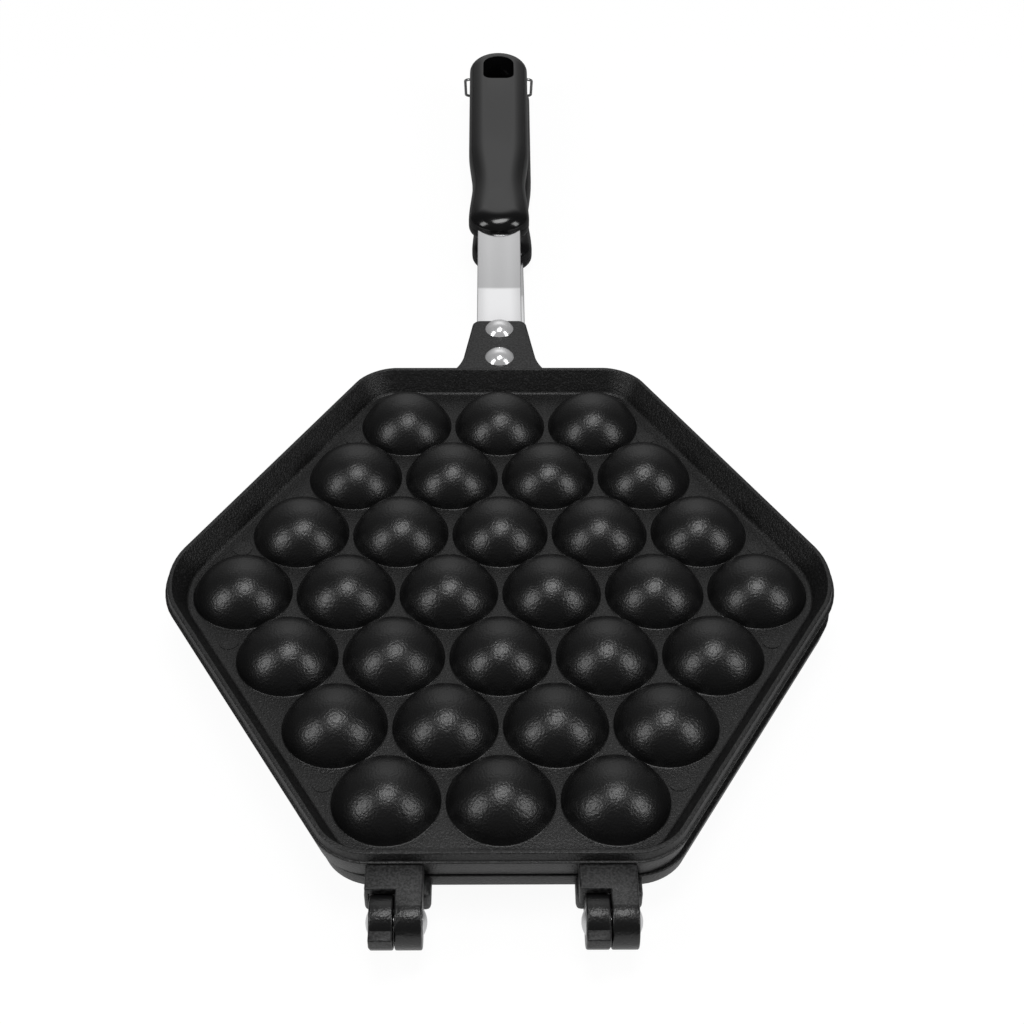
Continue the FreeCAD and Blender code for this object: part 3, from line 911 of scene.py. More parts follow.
class Field:
    """The cup field's layout in the frame"""

    def __init__(self):
        self.sizes = settings().casting
        sizes = self.sizes
        half_length = sizes.row_pitch * (len(ROWS) - 1) / 2
        self.centre = Vector((0, HINGE.y + sizes.hinge_offset + half_length, PARTING))
        self.back = self.centre.y + half_length
        self.front = self.centre.y - half_length
        wide = sizes.cup_pitch * (max(ROWS) - 1) / 2
        narrow = sizes.cup_pitch * (ROWS[0] - 1) / 2
        self.corners = [
            Vector((wide, 0)), Vector((narrow, half_length)), Vector((-narrow, half_length)),
            Vector((-wide, 0)), Vector((-narrow, -half_length)), Vector((narrow, -half_length)),
        ]

    def cups(self):
        """Centres of the cups from the field's centre."""
        for row, count in enumerate(ROWS):
            for place in range(count):
                yield Vector((
                    (place - (count - 1) / 2) * self.sizes.cup_pitch,
                    (row - (len(ROWS) - 1) / 2) * self.sizes.row_pitch,
                    0,
                ))

    def outline(self, bm, offset, level):
        """A face in the shape of the rounded hexagon at an offset."""
        verts = []
        turns = []
        for index, corner in enumerate(self.corners):
            before = (corner - self.corners[index - 1]).normalized()
            after = (self.corners[(index + 1) % len(self.corners)] - corner).normalized()
            normals = [Vector((way.y, -way.x)) for way in (before, after)]
            mitre = (normals[0] + normals[1]) / (1 + normals[0].dot(normals[1]))
            at = corner + mitre * offset
            verts.append(bm.verts.new((at.x, at.y, level)))
            turns.append(before.angle(after))
        bm.faces.new(verts)
        for side in (True, False):
            picked = [vert for index, vert in enumerate(verts) if (index % 3 == 0) == side]
            radius = self.sizes.side_corner if side else self.sizes.end_corner
            radius += offset - self.sizes.rim_offset
            width = radius * math.tan(turns[0 if side else 1] / 2)
            round_corners(bm, picked, width, 10)
        return max(bm.faces, key=lambda face: len(face.verts))


def follow(bm, face, profile):
    """Draws the rings of a profile round a face, and gives the face at its end."""
    for (offset_0, _), (offset_1, level) in zip(profile, profile[1:]):
        bmesh.ops.inset_region(
            bm, faces=[face], thickness=offset_0 - offset_1, depth=0,
            use_even_offset=True, use_boundary=True,
        )
        for vert in face.verts:
            vert.co.z = level
    return face


def cap(sizes, radius, level, foot, ease):
    """A dome on a level: a sphere cut off there, with a hollow or rounded foot."""
    bm = bmesh.new()
    bmesh.ops.create_uvsphere(
        bm, u_segments=sizes.cup_segments, v_segments=sizes.cup_rings, radius=radius
    )
    bmesh.ops.translate(bm, vec=-sizes.cup_sink * UP, verts=bm.verts)
    bmesh.ops.bisect_plane(bm, geom=everything(bm), plane_co=level * UP, plane_no=UP, clear_inner=True)
    rim = [edge for edge in bm.edges if edge.is_boundary]
    ring = {vert for edge in rim for vert in edge.verts}
    own_radius = math.hypot(*next(iter(ring)).co.xy)
    bmesh.ops.recalc_face_normals(bm, faces=bm.faces)
    grown = bmesh.ops.extrude_edge_only(bm, edges=rim)["geom"]
    stretch = foot / own_radius
    bmesh.ops.scale(bm, vec=(stretch, stretch, 1), verts=new_verts(grown))
    bmesh.ops.bevel(
        bm, geom=rim, offset=ease, offset_type="OFFSET", segments=4, profile=0.5, affect="EDGES",
        clamp_overlap=True, material=-1,
    )
    mesh = bpy.data.meshes.new("cap")
    bm.to_mesh(mesh)
    bm.free()
    return mesh


def fill_with_cups(bm, face, field, mesh):
    """Takes a flat face away and puts the cups and the web between them in its place."""
    level = next(iter(face.verts)).co.z
    border = list(face.edges)
    bm.faces.remove(face)
    for centre in field.cups():
        first_vert = len(bm.verts)
        first_face = len(bm.faces)
        bm.from_mesh(mesh)
        bm.verts.ensure_lookup_table()
        bm.faces.ensure_lookup_table()
        bmesh.ops.translate(bm, vec=centre, verts=bm.verts[first_vert:])
        for added in bm.faces[first_face:]:
            added.material_index = CUP_SLOT
    bpy.data.meshes.remove(mesh)
    rims = [
        edge for edge in bm.edges
        if edge.is_boundary and abs(edge.verts[0].co.z - level) < JOIN_DISTANCE and edge not in border
    ]
    filled = bmesh.ops.triangle_fill(
        bm, use_beauty=True, use_dissolve=False, edges=border + rims
    )["geom"]
    for item in filled:
        if isinstance(item, bmesh.types.BMFace):
            item.material_index = FLAT_SLOT


def plate_body(field, outer):
    """A casting from its outer profile and the lip of its baking side, both ending in a face of cups."""
    sizes = field.sizes
    inner = [
        (sizes.seal_offset, sizes.half_gap), (sizes.seal_offset - sizes.edge_ease, sizes.inner_level),
    ]
    bm = bmesh.new()
    top = follow(bm, field.outline(bm, *outer[0]), outer)
    dome = cap(sizes, sizes.dome_radius, outer[-1][1], sizes.dome_foot, sizes.dome_ease)
    fill_with_cups(bm, top, field, dome)
    low = bmesh.new()
    bottom = follow(low, field.outline(low, *inner[0]), inner)
    mouth = sizes.cup_radius + sizes.mouth_width
    hollow = cap(sizes, sizes.cup_radius, inner[-1][1], mouth, sizes.mouth_ease)
    fill_with_cups(low, bottom, field, hollow)
    mesh = bpy.data.meshes.new("inside")
    low.to_mesh(mesh)
    low.free()
    bm.from_mesh(mesh)
    bpy.data.meshes.remove(mesh)
    bmesh.ops.remove_doubles(bm, verts=bm.verts, dist=JOIN_DISTANCE)
    bmesh.ops.recalc_face_normals(bm, faces=bm.faces)
    bmesh.ops.translate(bm, vec=field.centre, verts=bm.verts)
    return bm


def coat(bm, slot):
    """Gives all faces of a bmesh one material slot."""
    for face in bm.faces:
        face.material_index = slot


def block(x, y, z, ease):
    """A closed block between three pairs of places, with rounded edges."""
    bm = bmesh.new()
    bmesh.ops.create_cube(bm, size=1)
    middle = Vector([(pair[0] + pair[1]) / 2 for pair in (x, y, z)])
    spans = [abs(pair[1] - pair[0]) for pair in (x, y, z)]
    bmesh.ops.scale(bm, vec=spans, verts=bm.verts)
    bmesh.ops.translate(bm, vec=middle, verts=bm.verts)
    ease_edges(bm, bm.edges, ease)
    coat(bm, SAND_SLOT)
    return bm


def barrel(radius, x, ease, slot=SAND_SLOT, segments=56):
    """A closed cylinder along the hinge axis with rounded rims."""
    bm = bmesh.new()
    length = x[1] - x[0]
    middle = HINGE + Vector(((x[0] + x[1]) / 2, 0, 0))
    bmesh.ops.create_cone(
        bm, cap_ends=True, segments=segments, radius1=radius, radius2=radius, depth=length,
        matrix=Matrix.Translation(middle) @ Matrix.Rotation(math.pi / 2, 4, "Y"),
    )
    if ease:
        rims = [edge for edge in bm.edges if any(len(face.verts) > 4 for face in edge.link_faces)]
        ease_edges(bm, rims, ease)
    coat(bm, slot)
    return bm


def merged(*parts):
    """Several closed bmeshes in one."""
    whole = parts[0]
    for part in parts[1:]:
        mesh = bpy.data.meshes.new("part")
        part.to_mesh(mesh)
        part.free()
        whole.from_mesh(mesh)
        bpy.data.meshes.remove(mesh)
    return whole


def hinge_spans():
    """For each hinge: its middle, and the ends of its knuckle and ear along X."""
    hinge = settings().hinge
    for side in (-1, 1):
        middle = side * hinge.spacing / 2
        ear_end = middle + hinge.block_width / 2
        ear = (ear_end - hinge.ear_width, ear_end)
        knuckle_end = ear[0] - hinge.gap
        yield middle, (knuckle_end - hinge.knuckle_width, knuckle_end), ear


def upper_hinges(field):
    """Blocks and ears in front of the upper plate."""
    hinge = settings().hinge
    casting = field.sizes
    root = field.front - casting.skirt_offset
    parts = []
    for middle, knuckle, ear in hinge_spans():
        half = hinge.block_width / 2
        levels = (PARTING + casting.half_gap, PARTING + hinge.knuckle_radius)
        body = block(
            (middle - half, middle + half), (HINGE.y + hinge.block_front, root + casting.rim_width),
            levels, hinge.ease,
        )
        notch = barrel(
            hinge.knuckle_radius + hinge.notch, (knuckle[0] - hinge.ease, ear[0]), 0, segments=96
        )
        body = cut(body, notch)
        step = hinge.join_step
        link = block(
            (ear[0] + step, ear[1] - step), (HINGE.y, root + casting.rim_width - step),
            (levels[0] + step, levels[1] - step), hinge.ease,
        )
        eye = barrel(hinge.knuckle_radius, ear, hinge.ease, CUP_SLOT)
        parts.append(cut(cut(body, link, "UNION"), eye, "UNION"))
    return merged(*parts)


def lower_hinges(field):
    """Blocks, knuckles and stop lugs in front of the lower plate."""
    hinge = settings().hinge
    casting = field.sizes
    root = field.front - casting.foot_offset
    parts = []
    for middle, knuckle, _ in hinge_spans():
        half = hinge.lower_width / 2
        levels = (PARTING - hinge.lower_depth, PARTING - casting.half_gap)
        centre = middle + hinge.lower_shift
        body = block(
            (centre - half, centre + half), (HINGE.y + hinge.lower_front, root + casting.foot_width),
            levels, hinge.lower_ease,
        )
        step = hinge.join_step
        inset = (knuckle[0] + step, knuckle[1] - step)
        link = block(
            inset, (HINGE.y, root + casting.foot_width - step),
            (PARTING - hinge.knuckle_radius + step, levels[1] - step), hinge.ease,
        )
        lug = block(
            inset, (HINGE.y - hinge.lug_reach, HINGE.y - hinge.lug_root),
            (PARTING + hinge.lug_foot, PARTING + hinge.lug_height), hinge.ease,
        )
        eye = barrel(hinge.knuckle_radius, knuckle, hinge.ease, CUP_SLOT)
        whole = cut(cut(body, link, "UNION"), eye, "UNION")
        parts.append(cut(whole, lug, "UNION"))
    return merged(*parts)


def tab(field, side):
    """Flared tab behind a plate, above the parting plane or below it, eased at its edges."""
    handle = settings().handle
    casting = field.sizes
    wall = field.back + casting.skirt_offset
    tip = wall + handle.tab_length
    near = handle.strap_clearance + handle.strap_thickness
    bend = handle.tab_flare / 2
    bm = bmesh.new()
    shape = [
        (handle.tab_base / 2, wall - casting.rim_width), (handle.tab_base / 2, wall),
        (handle.tab_waist / 2, wall + handle.tab_flare), (handle.tab_tip / 2, tip),
    ]
    right = [bm.verts.new((x, y, PARTING + side * near)) for x, y in shape]
    left = [bm.verts.new((-x, y, PARTING + side * near)) for x, y in reversed(shape)]
    bm.faces.new(right + left)
    for verts, width in (((right[2], left[1]), bend), ((right[3], left[0]), handle.tab_corner)):
        round_corners(bm, verts, width, 8)
    grown = bmesh.ops.extrude_face_region(bm, geom=bm.faces[:])["geom"]
    top = new_verts(grown)
    rise = casting.ledge_height - near + settings().hinge.join_step
    bmesh.ops.translate(bm, vec=side * rise * UP, verts=top)
    rims = [edge for edge in bm.edges if all(vert in top for vert in edge.verts)]
    ease_edges(bm, rims, handle.tab_ease)
    coat(bm, SAND_SLOT)
    return bm


def ejector_marks(field):
    """Eight faint round marks of ejector pins on the web between the cups and the wall."""
    sizes = field.sizes
    bm = bmesh.new()
    for across, along in ((sizes.end_mark_x, sizes.end_mark_y), (sizes.side_mark_x, sizes.side_mark_y)):
        for right, back in ((1, 1), (-1, 1), (1, -1), (-1, -1)):
            place = field.centre + Vector((right * across, back * along, sizes.outer_level))
            bmesh.ops.create_cone(
                bm, cap_ends=True, segments=32, radius1=sizes.mark_radius, radius2=sizes.mark_radius,
                depth=2 * sizes.mark_height, matrix=Matrix.Translation(place),
            )
    return bm


def flip(bm):
    """Mirrors a bmesh in the parting plane."""
    bmesh.ops.translate(bm, vec=-PARTING * UP, verts=bm.verts)
    bmesh.ops.scale(bm, vec=(1, 1, -1), verts=bm.verts)
    bmesh.ops.translate(bm, vec=PARTING * UP, verts=bm.verts)
    bmesh.ops.reverse_faces(bm, faces=bm.faces)


def casting_materials():
    """Slots of a casting: flat faces, cups, sand-cast parts."""
    return [finished(cast_coat), finished(cup_coat), finished(sand_coat)]


class PAN_OT_upper_plate(bpy.types.Operator):
    """Build the upper casting: tray, domes, hinge ears and tab"""

    bl_idname = "pan.upper_plate"
    bl_label = "Upper Plate"

    def execute(self, context):
        field = Field()
        sizes = field.sizes
        wall_top = sizes.rim_offset - sizes.rim_width
        rim = eased(
            [
                (sizes.seal_offset, sizes.half_gap), (sizes.skirt_offset, sizes.half_gap),
                (sizes.ledge_offset, sizes.ledge_height), (sizes.rim_foot_offset, sizes.ledge_height),
                (sizes.rim_offset, sizes.rim_height), (wall_top, sizes.rim_height),
                (sizes.tray_offset, sizes.outer_level),
            ],
            sizes.edge_ease,
        )
        cove = eased(
            [
                (wall_top, sizes.rim_height), (sizes.tray_offset, sizes.outer_level),
                (sizes.tray_offset - sizes.cove, sizes.outer_level),
            ],
            math.inf, 6,
        )
        outer = rim[:-1] + cove[1:]
        bm = plate_body(field, outer)
        bm = merged(bm, ejector_marks(field), upper_hinges(field), tab(field, 1))
        put(bm, "upper_casting", casting_materials(), "upper_half", "coated_casting", "upper_plate")
        return {"FINISHED"}


class PAN_OT_lower_plate(bpy.types.Operator):
    """Build the lower casting: shallow body, domes downwards, knuckles, lugs and tab"""

    bl_idname = "pan.lower_plate"
    bl_label = "Lower Plate"

    def execute(self, context):
        field = Field()
        sizes = field.sizes
        foot_inside = sizes.foot_offset - sizes.foot_width
        outer = eased(
            [
                (sizes.seal_offset, sizes.half_gap), (sizes.brim_offset, sizes.half_gap),
                (sizes.foot_offset, sizes.foot_depth), (foot_inside, sizes.foot_depth),
                (foot_inside - sizes.edge_ease, sizes.outer_level),
                (sizes.seal_offset, sizes.outer_level),
            ],
            sizes.edge_ease,
        )
        bm = plate_body(field, outer)
        flip(bm)
        bm = merged(bm, tab(field, -1))
        bmesh.ops.translate(bm, vec=(sizes.side_play, 0, 0), verts=bm.verts)
        bm = merged(bm, lower_hinges(field))
        put(bm, "lower_casting", casting_materials(), "lower_half", "coated_casting", "lower_plate")
        return {"FINISHED"}


def strap_path():
    """Middle line of the upper strap as (y, z) places."""
    handle = settings().handle
    field = Field()
    flat = PARTING + handle.strap_clearance + handle.strap_thickness / 2
    middle = (GRIP_LOW.z + GRIP_HIGH.z) / 2
    return [
        (STRAP_LOW.y, flat),
        (field.back + handle.strap_bend, flat),
        (GRIP_LOW.y + handle.strap_thickness, middle),
        (STRAP_HIGH.y, middle),
    ]


def strap():
    """Bent strip with eased edges, extruded along its path."""
    handle = settings().handle
    path = [Vector((0, y, z)) for y, z in strap_path()]
    bm = bmesh.new()
    half = handle.strap_width / 2
    first = [bm.verts.new((x, path[0].y, path[0].z)) for x in (-half, half)]
    edge = bm.edges.new(first)
    for start, end in zip(path, path[1:]):
        verts = new_verts(bmesh.ops.extrude_edge_only(bm, edges=[edge])["geom"])
        edge = bm.edges.get(verts)
        bmesh.ops.translate(bm, vec=end - start, verts=verts)
    across = [edge for edge in bm.edges if len(edge.link_faces) == 2]
    bmesh.ops.bevel(
        bm, geom=across, offset=handle.bend_ease, offset_type="OFFSET", segments=4, profile=0.5,
        affect="EDGES", material=-1,
    )
    bmesh.ops.recalc_face_normals(bm, faces=bm.faces)
    bmesh.ops.solidify(bm, geom=bm.faces[:], thickness=handle.strap_thickness)
    bmesh.ops.recalc_face_normals(bm, faces=bm.faces)
    low = min(vert.co.z for vert in bm.verts)
    bmesh.ops.translate(bm, vec=(PARTING + handle.strap_clearance - low) * UP, verts=bm.verts)
    rims = [edge for edge in bm.edges if edge.calc_face_angle(0) > STRAP_ANGLE]
    ease_edges(bm, rims, handle.strap_ease, 2)
    return bm


def lowered(bm):
    """Turns a part of the upper handle into the lower one."""
    flip(bm)
    bmesh.ops.translate(bm, vec=(settings().casting.side_play, 0, 0), verts=bm.verts)
    return bm


class PAN_OT_straps(bpy.types.Operator):
    """Build the two bent steel straps"""

    bl_idname = "pan.straps"
    bl_label = "Straps"

    def execute(self, context):
        steel = [finished(strap_steel)]
        put(strap(), "steel_strap_upper", steel, "upper_half", "satin_steel", "upper_strap")
        put(lowered(strap()), "steel_strap_lower", steel, "lower_half", "satin_steel", "lower_strap")
        return {"FINISHED"}


def turned(points, axis_place, axis, segments=40):
    """A closed solid spun from (radius, height) points about an axis."""
    bm = bmesh.new()
    verts = [bm.verts.new((radius, 0, height)) for radius, height in points]
    edges = [bm.edges.new(pair) for pair in zip(verts, verts[1:])]
    bmesh.ops.spin(
        bm, geom=verts + edges, cent=(0, 0, 0), axis=(0, 0, 1), dvec=(0, 0, 0), angle=2 * math.pi,
        steps=segments, use_merge=True, use_duplicate=False,
    )
    bmesh.ops.remove_doubles(bm, verts=bm.verts, dist=MERGE_DISTANCE)
    bmesh.ops.recalc_face_normals(bm, faces=bm.faces)
    turn = UP.rotation_difference(axis).to_matrix().to_4x4()
    bmesh.ops.transform(bm, matrix=Matrix.Translation(axis_place) @ turn, verts=bm.verts)
    return bm


def dome_points(radius, height, steps=8):
    """Profile of a low dome from its rim to its crown."""
    sphere = (radius ** 2 + height ** 2) / (2 * height)
    spread = math.asin(radius / sphere)
    points = []
    for step in range(steps + 1):
        angle = spread * (1 - step / steps)
        points.append((sphere * math.sin(angle), height - sphere * (1 - math.cos(angle))))
    return points


def rivet(place):
    """Rivet of the upper tab: countersunk tail, shank and dome head."""
    handle = settings().handle
    field = Field()
    foot = handle.strap_clearance - handle.tail_rise
    seat = field.sizes.ledge_height
    shank = handle.rivet_radius / 2
    head = dome_points(handle.rivet_radius, handle.rivet_height)
    points = [
        (0, foot), (handle.rivet_radius * TAIL_SHARE, foot),
        (shank, foot + handle.strap_thickness / 2), (shank, seat),
        (handle.rivet_radius * NECK_SHARE, seat),
    ]
    points += [(radius, seat + height) for radius, height in head]
    return turned(points, Vector((0, field.back + place, PARTING)), UP)


class PAN_OT_rivets(bpy.types.Operator):
    """Build the four dome-headed rivets"""

    bl_idname = "pan.rivets"
    bl_label = "Rivets"

    def execute(self, context):
        handle = settings().handle
        chrome = [finished(rivet_steel)]
        for name, place in (("inner", handle.rivet_inner), ("outer", handle.rivet_outer)):
            put(
                rivet(place), "dome_rivet_upper_" + name, chrome,
                "upper_half", "bright_steel", "upper_rivet_" + name,
            )
            put(
                lowered(rivet(place)), "dome_rivet_lower_" + name, chrome,
                "lower_half", "bright_steel", "lower_rivet_" + name,
            )
        return {"FINISHED"}


class PAN_OT_hinge_pins(bpy.types.Operator):
    """Build the two short hinge pins with dome heads"""

    bl_idname = "pan.hinge_pins"
    bl_label = "Hinge Pins"

    def execute(self, context):
        hinge = settings().hinge
        plated = [finished(shaded_pin_steel)]
        for name, (_, knuckle, ear) in zip(("left", "right"), hinge_spans()):
            # A third of the gap is left under the far head
            end = ear[1] - knuckle[0] + hinge.gap / 3
            head = dome_points(hinge.head_radius, hinge.head_height)
            points = [(radius, -height) for radius, height in reversed(head)]
            points += [(hinge.pin_radius, 0), (hinge.pin_radius, end)]
            points += [(radius, end + height) for radius, height in head]
            bm = turned(points, Vector((knuckle[0], HINGE.y, HINGE.z)), Vector((1, 0, 0)))
            put(bm, "hinge_rivet_" + name, plated, "lower_half", "bright_steel", "hinge_pin_" + name)
        return {"FINISHED"}


def eased_step(low, high, share):
    """A value that leaves low and reaches high without a corner."""
    return low + (high - low) * share ** 2 * (3 - 2 * share)


def grip_side():
    """Right side of a grip's plan, from the tip of its nose to its far end."""
    handle = settings().handle
    nose = handle.nose_width / 2
    waist = handle.waist_width / 2
    shank = handle.shank_width / 2
    end = (GRIP_HIGH.x - GRIP_LOW.x) / 2
    length = GRIP_HIGH.y - GRIP_LOW.y
    steps = 14
    side = []
    for step in range(steps):
        turn = math.pi / 2 * step / steps
        side.append((nose * math.sin(turn), handle.nose_length * (1 - math.cos(turn))))
    for start, stop, low, high in (
        (handle.nose_length, handle.waist_at, nose, waist),
        (handle.waist_at, handle.shank_at, waist, shank),
    ):
        for step in range(steps):
            share = step / steps
            side.append((eased_step(low, high, share), start + (stop - start) * share))
    side.append((shank, handle.shank_at))
    for step in range(steps + 1):
        turn = math.pi / 2 * step / steps
        side.append((end * math.cos(turn), length - end + end * math.sin(turn)))
    return side


def grip():
    """Upper grip: its plan drawn in to rounded edges, mirrored, with mould line and hanging slot."""
    handle = settings().handle
    middle = (GRIP_LOW + GRIP_HIGH) / 2
    full = (GRIP_HIGH.z - GRIP_LOW.z) / 2
    edge = handle.grip_edge
    side = grip_side()
    bm = bmesh.new()
    around = side + [(-x, y) for x, y in reversed(side[1:-1])]
    face = bm.faces.new([bm.verts.new((x, y, 0)) for x, y in around])
    profile = [(0, 0), (-handle.seam / 4, full - edge)]
    steps = 8
    for step in range(1, steps + 1):
        turn = math.pi / 2 * step / steps
        inwards = handle.grip_edge_width * (1 - math.cos(turn))
        profile.append((-inwards, full - edge * (1 - math.sin(turn))))
    follow(bm, face, profile)
    mirrored(bm, "Z")
    seam = [item for item in bm.edges if all(abs(vert.co.z) < JOIN_DISTANCE for vert in item.verts)]
    bmesh.ops.bevel(
        bm, geom=seam, offset=handle.seam, offset_type="OFFSET", segments=2, profile=0.5,
        affect="EDGES", material=-1,
    )
    bm.normal_update()
    for vert in bm.verts:
        if abs(vert.co.z) < handle.seam / 4:
            bmesh.ops.translate(bm, vec=vert.normal * -handle.seam, verts=[vert])
    for vert in bm.verts:
        left = max(0, 1 - vert.co.y / handle.nose_slope)
        vert.co.z *= 1 - handle.nose_drop_share * left ** 2
    bmesh.ops.translate(bm, vec=(middle.x, GRIP_LOW.y, middle.z), verts=bm.verts)
    return eased_slot(cut(bm, slot_cutter()))


def slot_ends():
    """Half the hanging slot's width, and its near and far ends along Y."""
    handle = settings().handle
    far = GRIP_HIGH.y - handle.slot_wall
    return handle.slot_width / 2, far - handle.slot_length, far


def slot_cutter():
    """Hanging slot through the grip, round at its far end and square at its near end."""
    handle = settings().handle
    radius, near, far = slot_ends()
    middle = (GRIP_LOW.z + GRIP_HIGH.z) / 2
    height = GRIP_HIGH.z - GRIP_LOW.z
    bm = bmesh.new()
    corners = [(-radius, near), (radius, near), (radius, far), (-radius, far)]
    verts = [bm.verts.new((x, y, middle - height)) for x, y in corners]
    bm.faces.new(verts)
    for picked, width in ((verts[:2], handle.slot_corner), (verts[2:], radius * ROUND_SHARE)):
        round_corners(bm, picked, width, 14)
    bmesh.ops.remove_doubles(bm, verts=bm.verts, dist=handle.slot_ease / 8)
    grown = bmesh.ops.extrude_face_region(bm, geom=bm.faces[:])["geom"]
    top = new_verts(grown)
    bmesh.ops.translate(bm, vec=2 * height * UP, verts=top)
    return bm


def eased_slot(bm):
    """Rounds the slot's mouth, where its wall meets the grip's faces."""
    radius, near, far = slot_ends()
    tip = settings().handle.slot_ease

    def at_mouth(place):
        level = min(abs(place.z - GRIP_LOW.z), abs(place.z - GRIP_HIGH.z)) < tip
        return level and near - tip < place.y < far + tip and abs(place.x) < radius + tip / 2

    picked = [
        edge for edge in bm.edges
        if all(at_mouth(vert.co) for vert in edge.verts) and edge.calc_face_angle(0) > SLOT_ANGLE
    ]
    ease_edges(bm, picked, tip)
    return bm


class PAN_OT_grips(bpy.types.Operator):
    """Build the two phenolic grips"""

    bl_idname = "pan.grips"
    bl_label = "Grips"

    def execute(self, context):
        black = [finished(grip_resin)]
        put(grip(), "moulded_grip_upper", black, "upper_half", "phenolic", "upper_grip")
        put(lowered(grip()), "moulded_grip_lower", black, "lower_half", "phenolic", "lower_grip")
        return {"FINISHED"}


class PAN_OT_latch_ring(bpy.types.Operator):
    """Build the square wire ring, bent round its corners"""

    bl_idname = "pan.latch_ring"
    bl_label = "Latch Ring"

    def execute(self, context):
        handle = settings().handle
        bend = handle.ring_bend
        across = handle.ring_side - bend - handle.ring_end
        down = handle.ring_reach - 2 * bend
        bm = bmesh.new()
        disc = bmesh.ops.create_circle(
            bm, cap_ends=True, segments=16, radius=handle.wire_radius,
            matrix=Matrix.Translation((handle.ring_end, 0, 0)) @ Matrix.Rotation(math.pi / 2, 4, "Y"),
        )
        face = disc["verts"][0].link_faces[0]
        face = pulled(bm, face, Vector((across, 0, 0)))
        face = bent(bm, face, Vector((handle.ring_side - bend, 0, -bend)))
        face = pulled(bm, face, Vector((0, 0, -down)))
        face = bent(bm, face, Vector((handle.ring_side - bend, 0, bend - handle.ring_reach)))
        face = pulled(bm, face, Vector((bend - handle.ring_side, 0, 0)))
        bmesh.ops.delete(bm, geom=[face], context="FACES_ONLY")
        mirrored(bm, "X")
        out = GRIP_HIGH.y - RING_PIVOT.y + handle.ring_stand_off + handle.wire_radius
        swing = math.asin(out / handle.ring_reach)
        bmesh.ops.rotate(bm, cent=(0, 0, 0), matrix=Matrix.Rotation(swing, 3, "X"), verts=bm.verts)
        bmesh.ops.translate(bm, vec=RING_PIVOT, verts=bm.verts)
        put(bm, "wire_ring", [finished(shaded_pin_steel)], "latch", "spring_wire", "latch_ring")
        return {"FINISHED"}


def pulled(bm, face, way):
    """Extrudes a face along a straight line."""
    grown = bmesh.ops.extrude_discrete_faces(bm, faces=[face])["faces"][0]
    bmesh.ops.translate(bm, vec=way, verts=grown.verts)
    return grown


def bent(bm, face, centre, steps=6):
    """Extrudes a face round a quarter turn to the right, seen from the front."""
    for _ in range(steps):
        face = bmesh.ops.extrude_discrete_faces(bm, faces=[face])["faces"][0]
        turn = Matrix.Rotation(math.pi / 2 / steps, 3, "Y")
        bmesh.ops.rotate(bm, cent=centre, matrix=turn, verts=face.verts)
    return face


def lamp(name, shape, size, way, power, target):
    """A soft lamp that faces the pan."""
    light = bpy.data.lights.new(name, "AREA")
    light.shape = shape
    light.size, light.size_y = size
    light.energy = power
    holder = bpy.data.objects.new(name, light)
    holder.location = target + Vector(way).normalized() * settings().stage.lamp_distance
    holder.rotation_euler = Vector(way).to_track_quat("Z", "Y").to_euler()
    bpy.context.collection.objects.link(holder)


def studio_world():
    """White to the camera; for gloss a bright screen behind the pan, dark at the sides and in front."""
    world = bpy.data.worlds.new("studio")
    bpy.context.scene.world = world
    paint = Paint(world)
    way = paint.add("ShaderNodeTexCoord", output="Generated")
    across = paint.add("ShaderNodeSeparateXYZ", None, {0: way}, output="X")
    back = paint.add("ShaderNodeSeparateXYZ", None, {0: way}, output="Y")
    height = paint.add("ShaderNodeSeparateXYZ", None, {0: way}, output="Z")
    middle = paint.ramp(abs(across), ACROSS_SHARES)
    behind = paint.ramp(back, BACK_SHARES)
    screen = paint.ramp(height, HEIGHT_SHARES)
    glow = middle * behind * screen + 0.07
    camera = paint.add("ShaderNodeLightPath", output="Is Camera Ray")
    strength = glow * (1 - camera) + camera
    light = paint.add("ShaderNodeBackground", None, {"Color": (1, 1, 1, 1), "Strength": strength})
    paint.add("ShaderNodeOutputWorld", None, {"Surface": light})


def white_floor():
    """Pale floor that shows white, keeps a faint shadow, and is dim behind in the pan's gloss."""
    floor = bpy.data.materials.new("studio_floor")
    paint = Paint(floor)
    pale = paint.add("ShaderNodeBsdfDiffuse", None, {"Color": (0.9, 0.9, 0.9, 1)})
    glow = paint.add("ShaderNodeEmission", None, {"Color": (1, 1, 1, 1), "Strength": 1.05})
    dark = paint.add("ShaderNodeEmission", None, {"Color": (0, 0, 0, 1), "Strength": 0.0})
    camera = paint.add("ShaderNodeLightPath", output="Is Camera Ray")
    gloss = paint.add("ShaderNodeLightPath", output="Is Glossy Ray")
    along = paint.add("ShaderNodeSeparateXYZ", None, {0: paint.place()}, output="Y")
    front = paint.ramp(along * 2 + 0.5, [(0.0, 0.6), (0.35, 0.0)])
    behind = paint.ramp(along * 2 + 0.5, [(0.1, 0.0), (0.6, 0.7)])
    seen = paint.add("ShaderNodeMixShader", None, {0: camera * 0.9 + gloss * front, 1: pale, 2: glow})
    mixed = paint.add("ShaderNodeMixShader", None, {0: gloss * behind, 1: seen, 2: dark})
    paint.add("ShaderNodeOutputMaterial", None, {"Surface": mixed})
    return floor


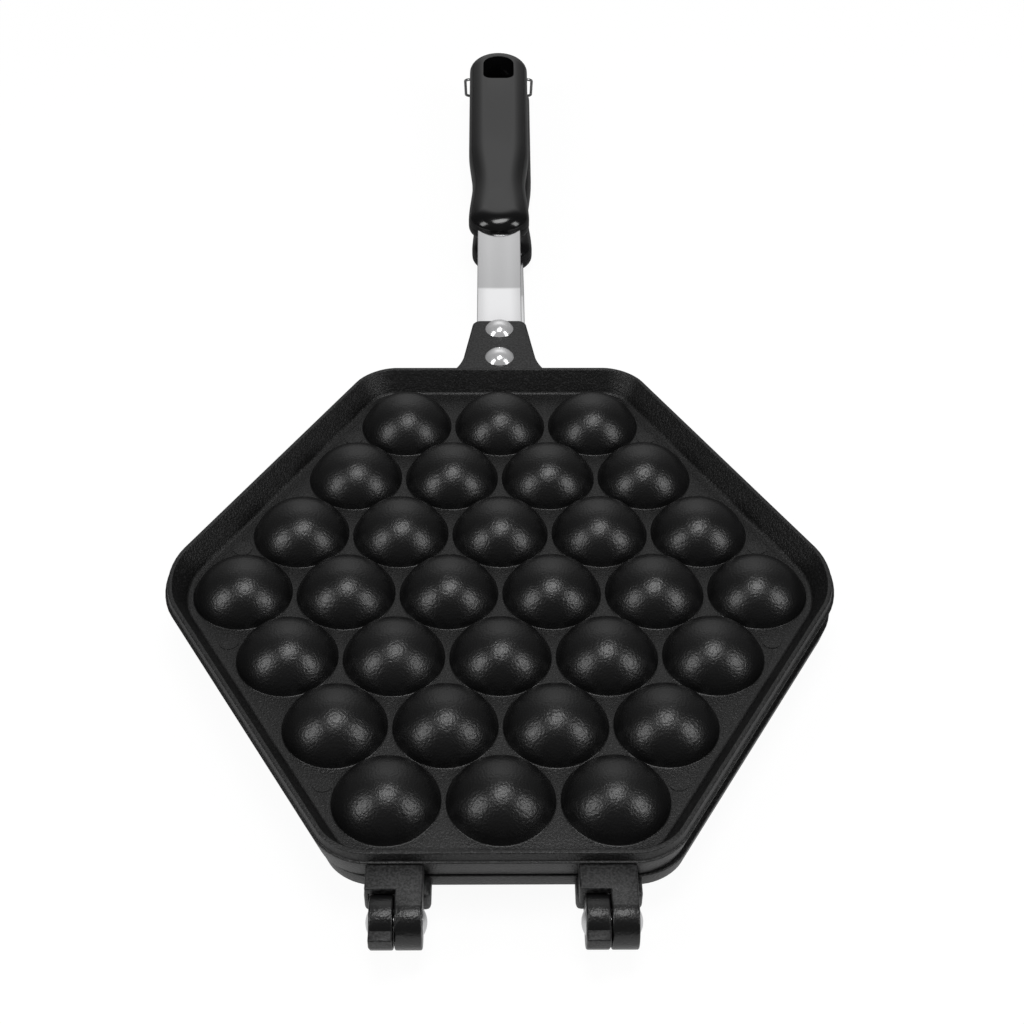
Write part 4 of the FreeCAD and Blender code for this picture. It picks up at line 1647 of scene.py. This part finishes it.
class PAN_OT_stage(bpy.types.Operator):
    """Set up the floor, lamps, world and camera"""

    bl_idname = "pan.stage"
    bl_label = "Stage"

    def execute(self, context):
        stage = settings().stage
        field = Field()
        scene = context.scene
        studio_world()
        bm = bmesh.new()
        bmesh.ops.create_grid(bm, x_segments=1, y_segments=1, size=stage.floor_reach)
        bmesh.ops.translate(bm, vec=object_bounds()[0][2] * UP, verts=bm.verts)
        mesh = bpy.data.meshes.new("floor")
        bm.to_mesh(mesh)
        bm.free()
        mesh.materials.append(white_floor())
        floor = bpy.data.objects.new("floor", mesh)
        context.collection.objects.link(floor)
        floor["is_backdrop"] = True
        target = field.centre
        top = (stage.top_width, stage.top_height)
        side = (stage.side_width, stage.side_height)
        lamp("lamp_top", "ELLIPSE", top, TOP_WAY, stage.top_power, target)
        lamp("lamp_left", "RECTANGLE", side, LEFT_WAY, stage.side_power, target)
        lamp("lamp_right", "RECTANGLE", side, RIGHT_WAY, stage.side_power, target)
        camera = bpy.data.cameras.new("camera")
        camera.lens = stage.focal_length
        camera.sensor_width = stage.film_width
        holder = bpy.data.objects.new("camera", camera)
        context.collection.objects.link(holder)
        turn = (
            Matrix.Rotation(stage.camera_yaw, 4, "Z")
            @ Matrix.Rotation(math.pi / 2 - stage.camera_pitch, 4, "X")
            @ Matrix.Rotation(stage.camera_roll, 4, "Z")
        )
        holder.matrix_world = Matrix.Translation(field.centre + Vector(stage.camera_place)) @ turn
        scene.camera = holder
        scene.view_settings.view_transform = "Standard"
        return {"FINISHED"}


OPERATORS = (
    PAN_OT_upper_plate,
    PAN_OT_lower_plate,
    PAN_OT_straps,
    PAN_OT_rivets,
    PAN_OT_hinge_pins,
    PAN_OT_grips,
    PAN_OT_latch_ring,
    PAN_OT_stage,
)


class PAN_PT_panel(bpy.types.Panel):
    """Lists the pan's operators"""

    bl_label = "Egg Waffle Pan"
    bl_idname = "PAN_PT_panel"
    bl_space_type = "VIEW_3D"
    bl_region_type = "UI"
    bl_category = "Waffle Pan"

    def draw(self, context):
        for operator in OPERATORS:
            self.layout.operator(operator.bl_idname)


CLASSES = (
    CastingSizes, HingeSizes, HandleSizes, Finishes, StageSettings, PanSettings, *OPERATORS, PAN_PT_panel,
)


def register():
    """Registers the classes and the scene's settings."""
    for each in CLASSES:
        bpy.utils.register_class(each)
    bpy.types.Scene.waffle_pan = PointerProperty(type=PanSettings)


def unregister():
    """Takes the settings and classes away again."""
    del bpy.types.Scene.waffle_pan
    for each in reversed(CLASSES):
        bpy.utils.unregister_class(each)


def main():
    """Builds the pan and its stage."""
    register()
    bpy.ops.pan.upper_plate()
    bpy.ops.pan.lower_plate()
    bpy.ops.pan.straps()
    bpy.ops.pan.rivets()
    bpy.ops.pan.hinge_pins()
    bpy.ops.pan.grips()
    bpy.ops.pan.latch_ring()
    bpy.ops.pan.stage()


if __name__ == "__main__":
    main()
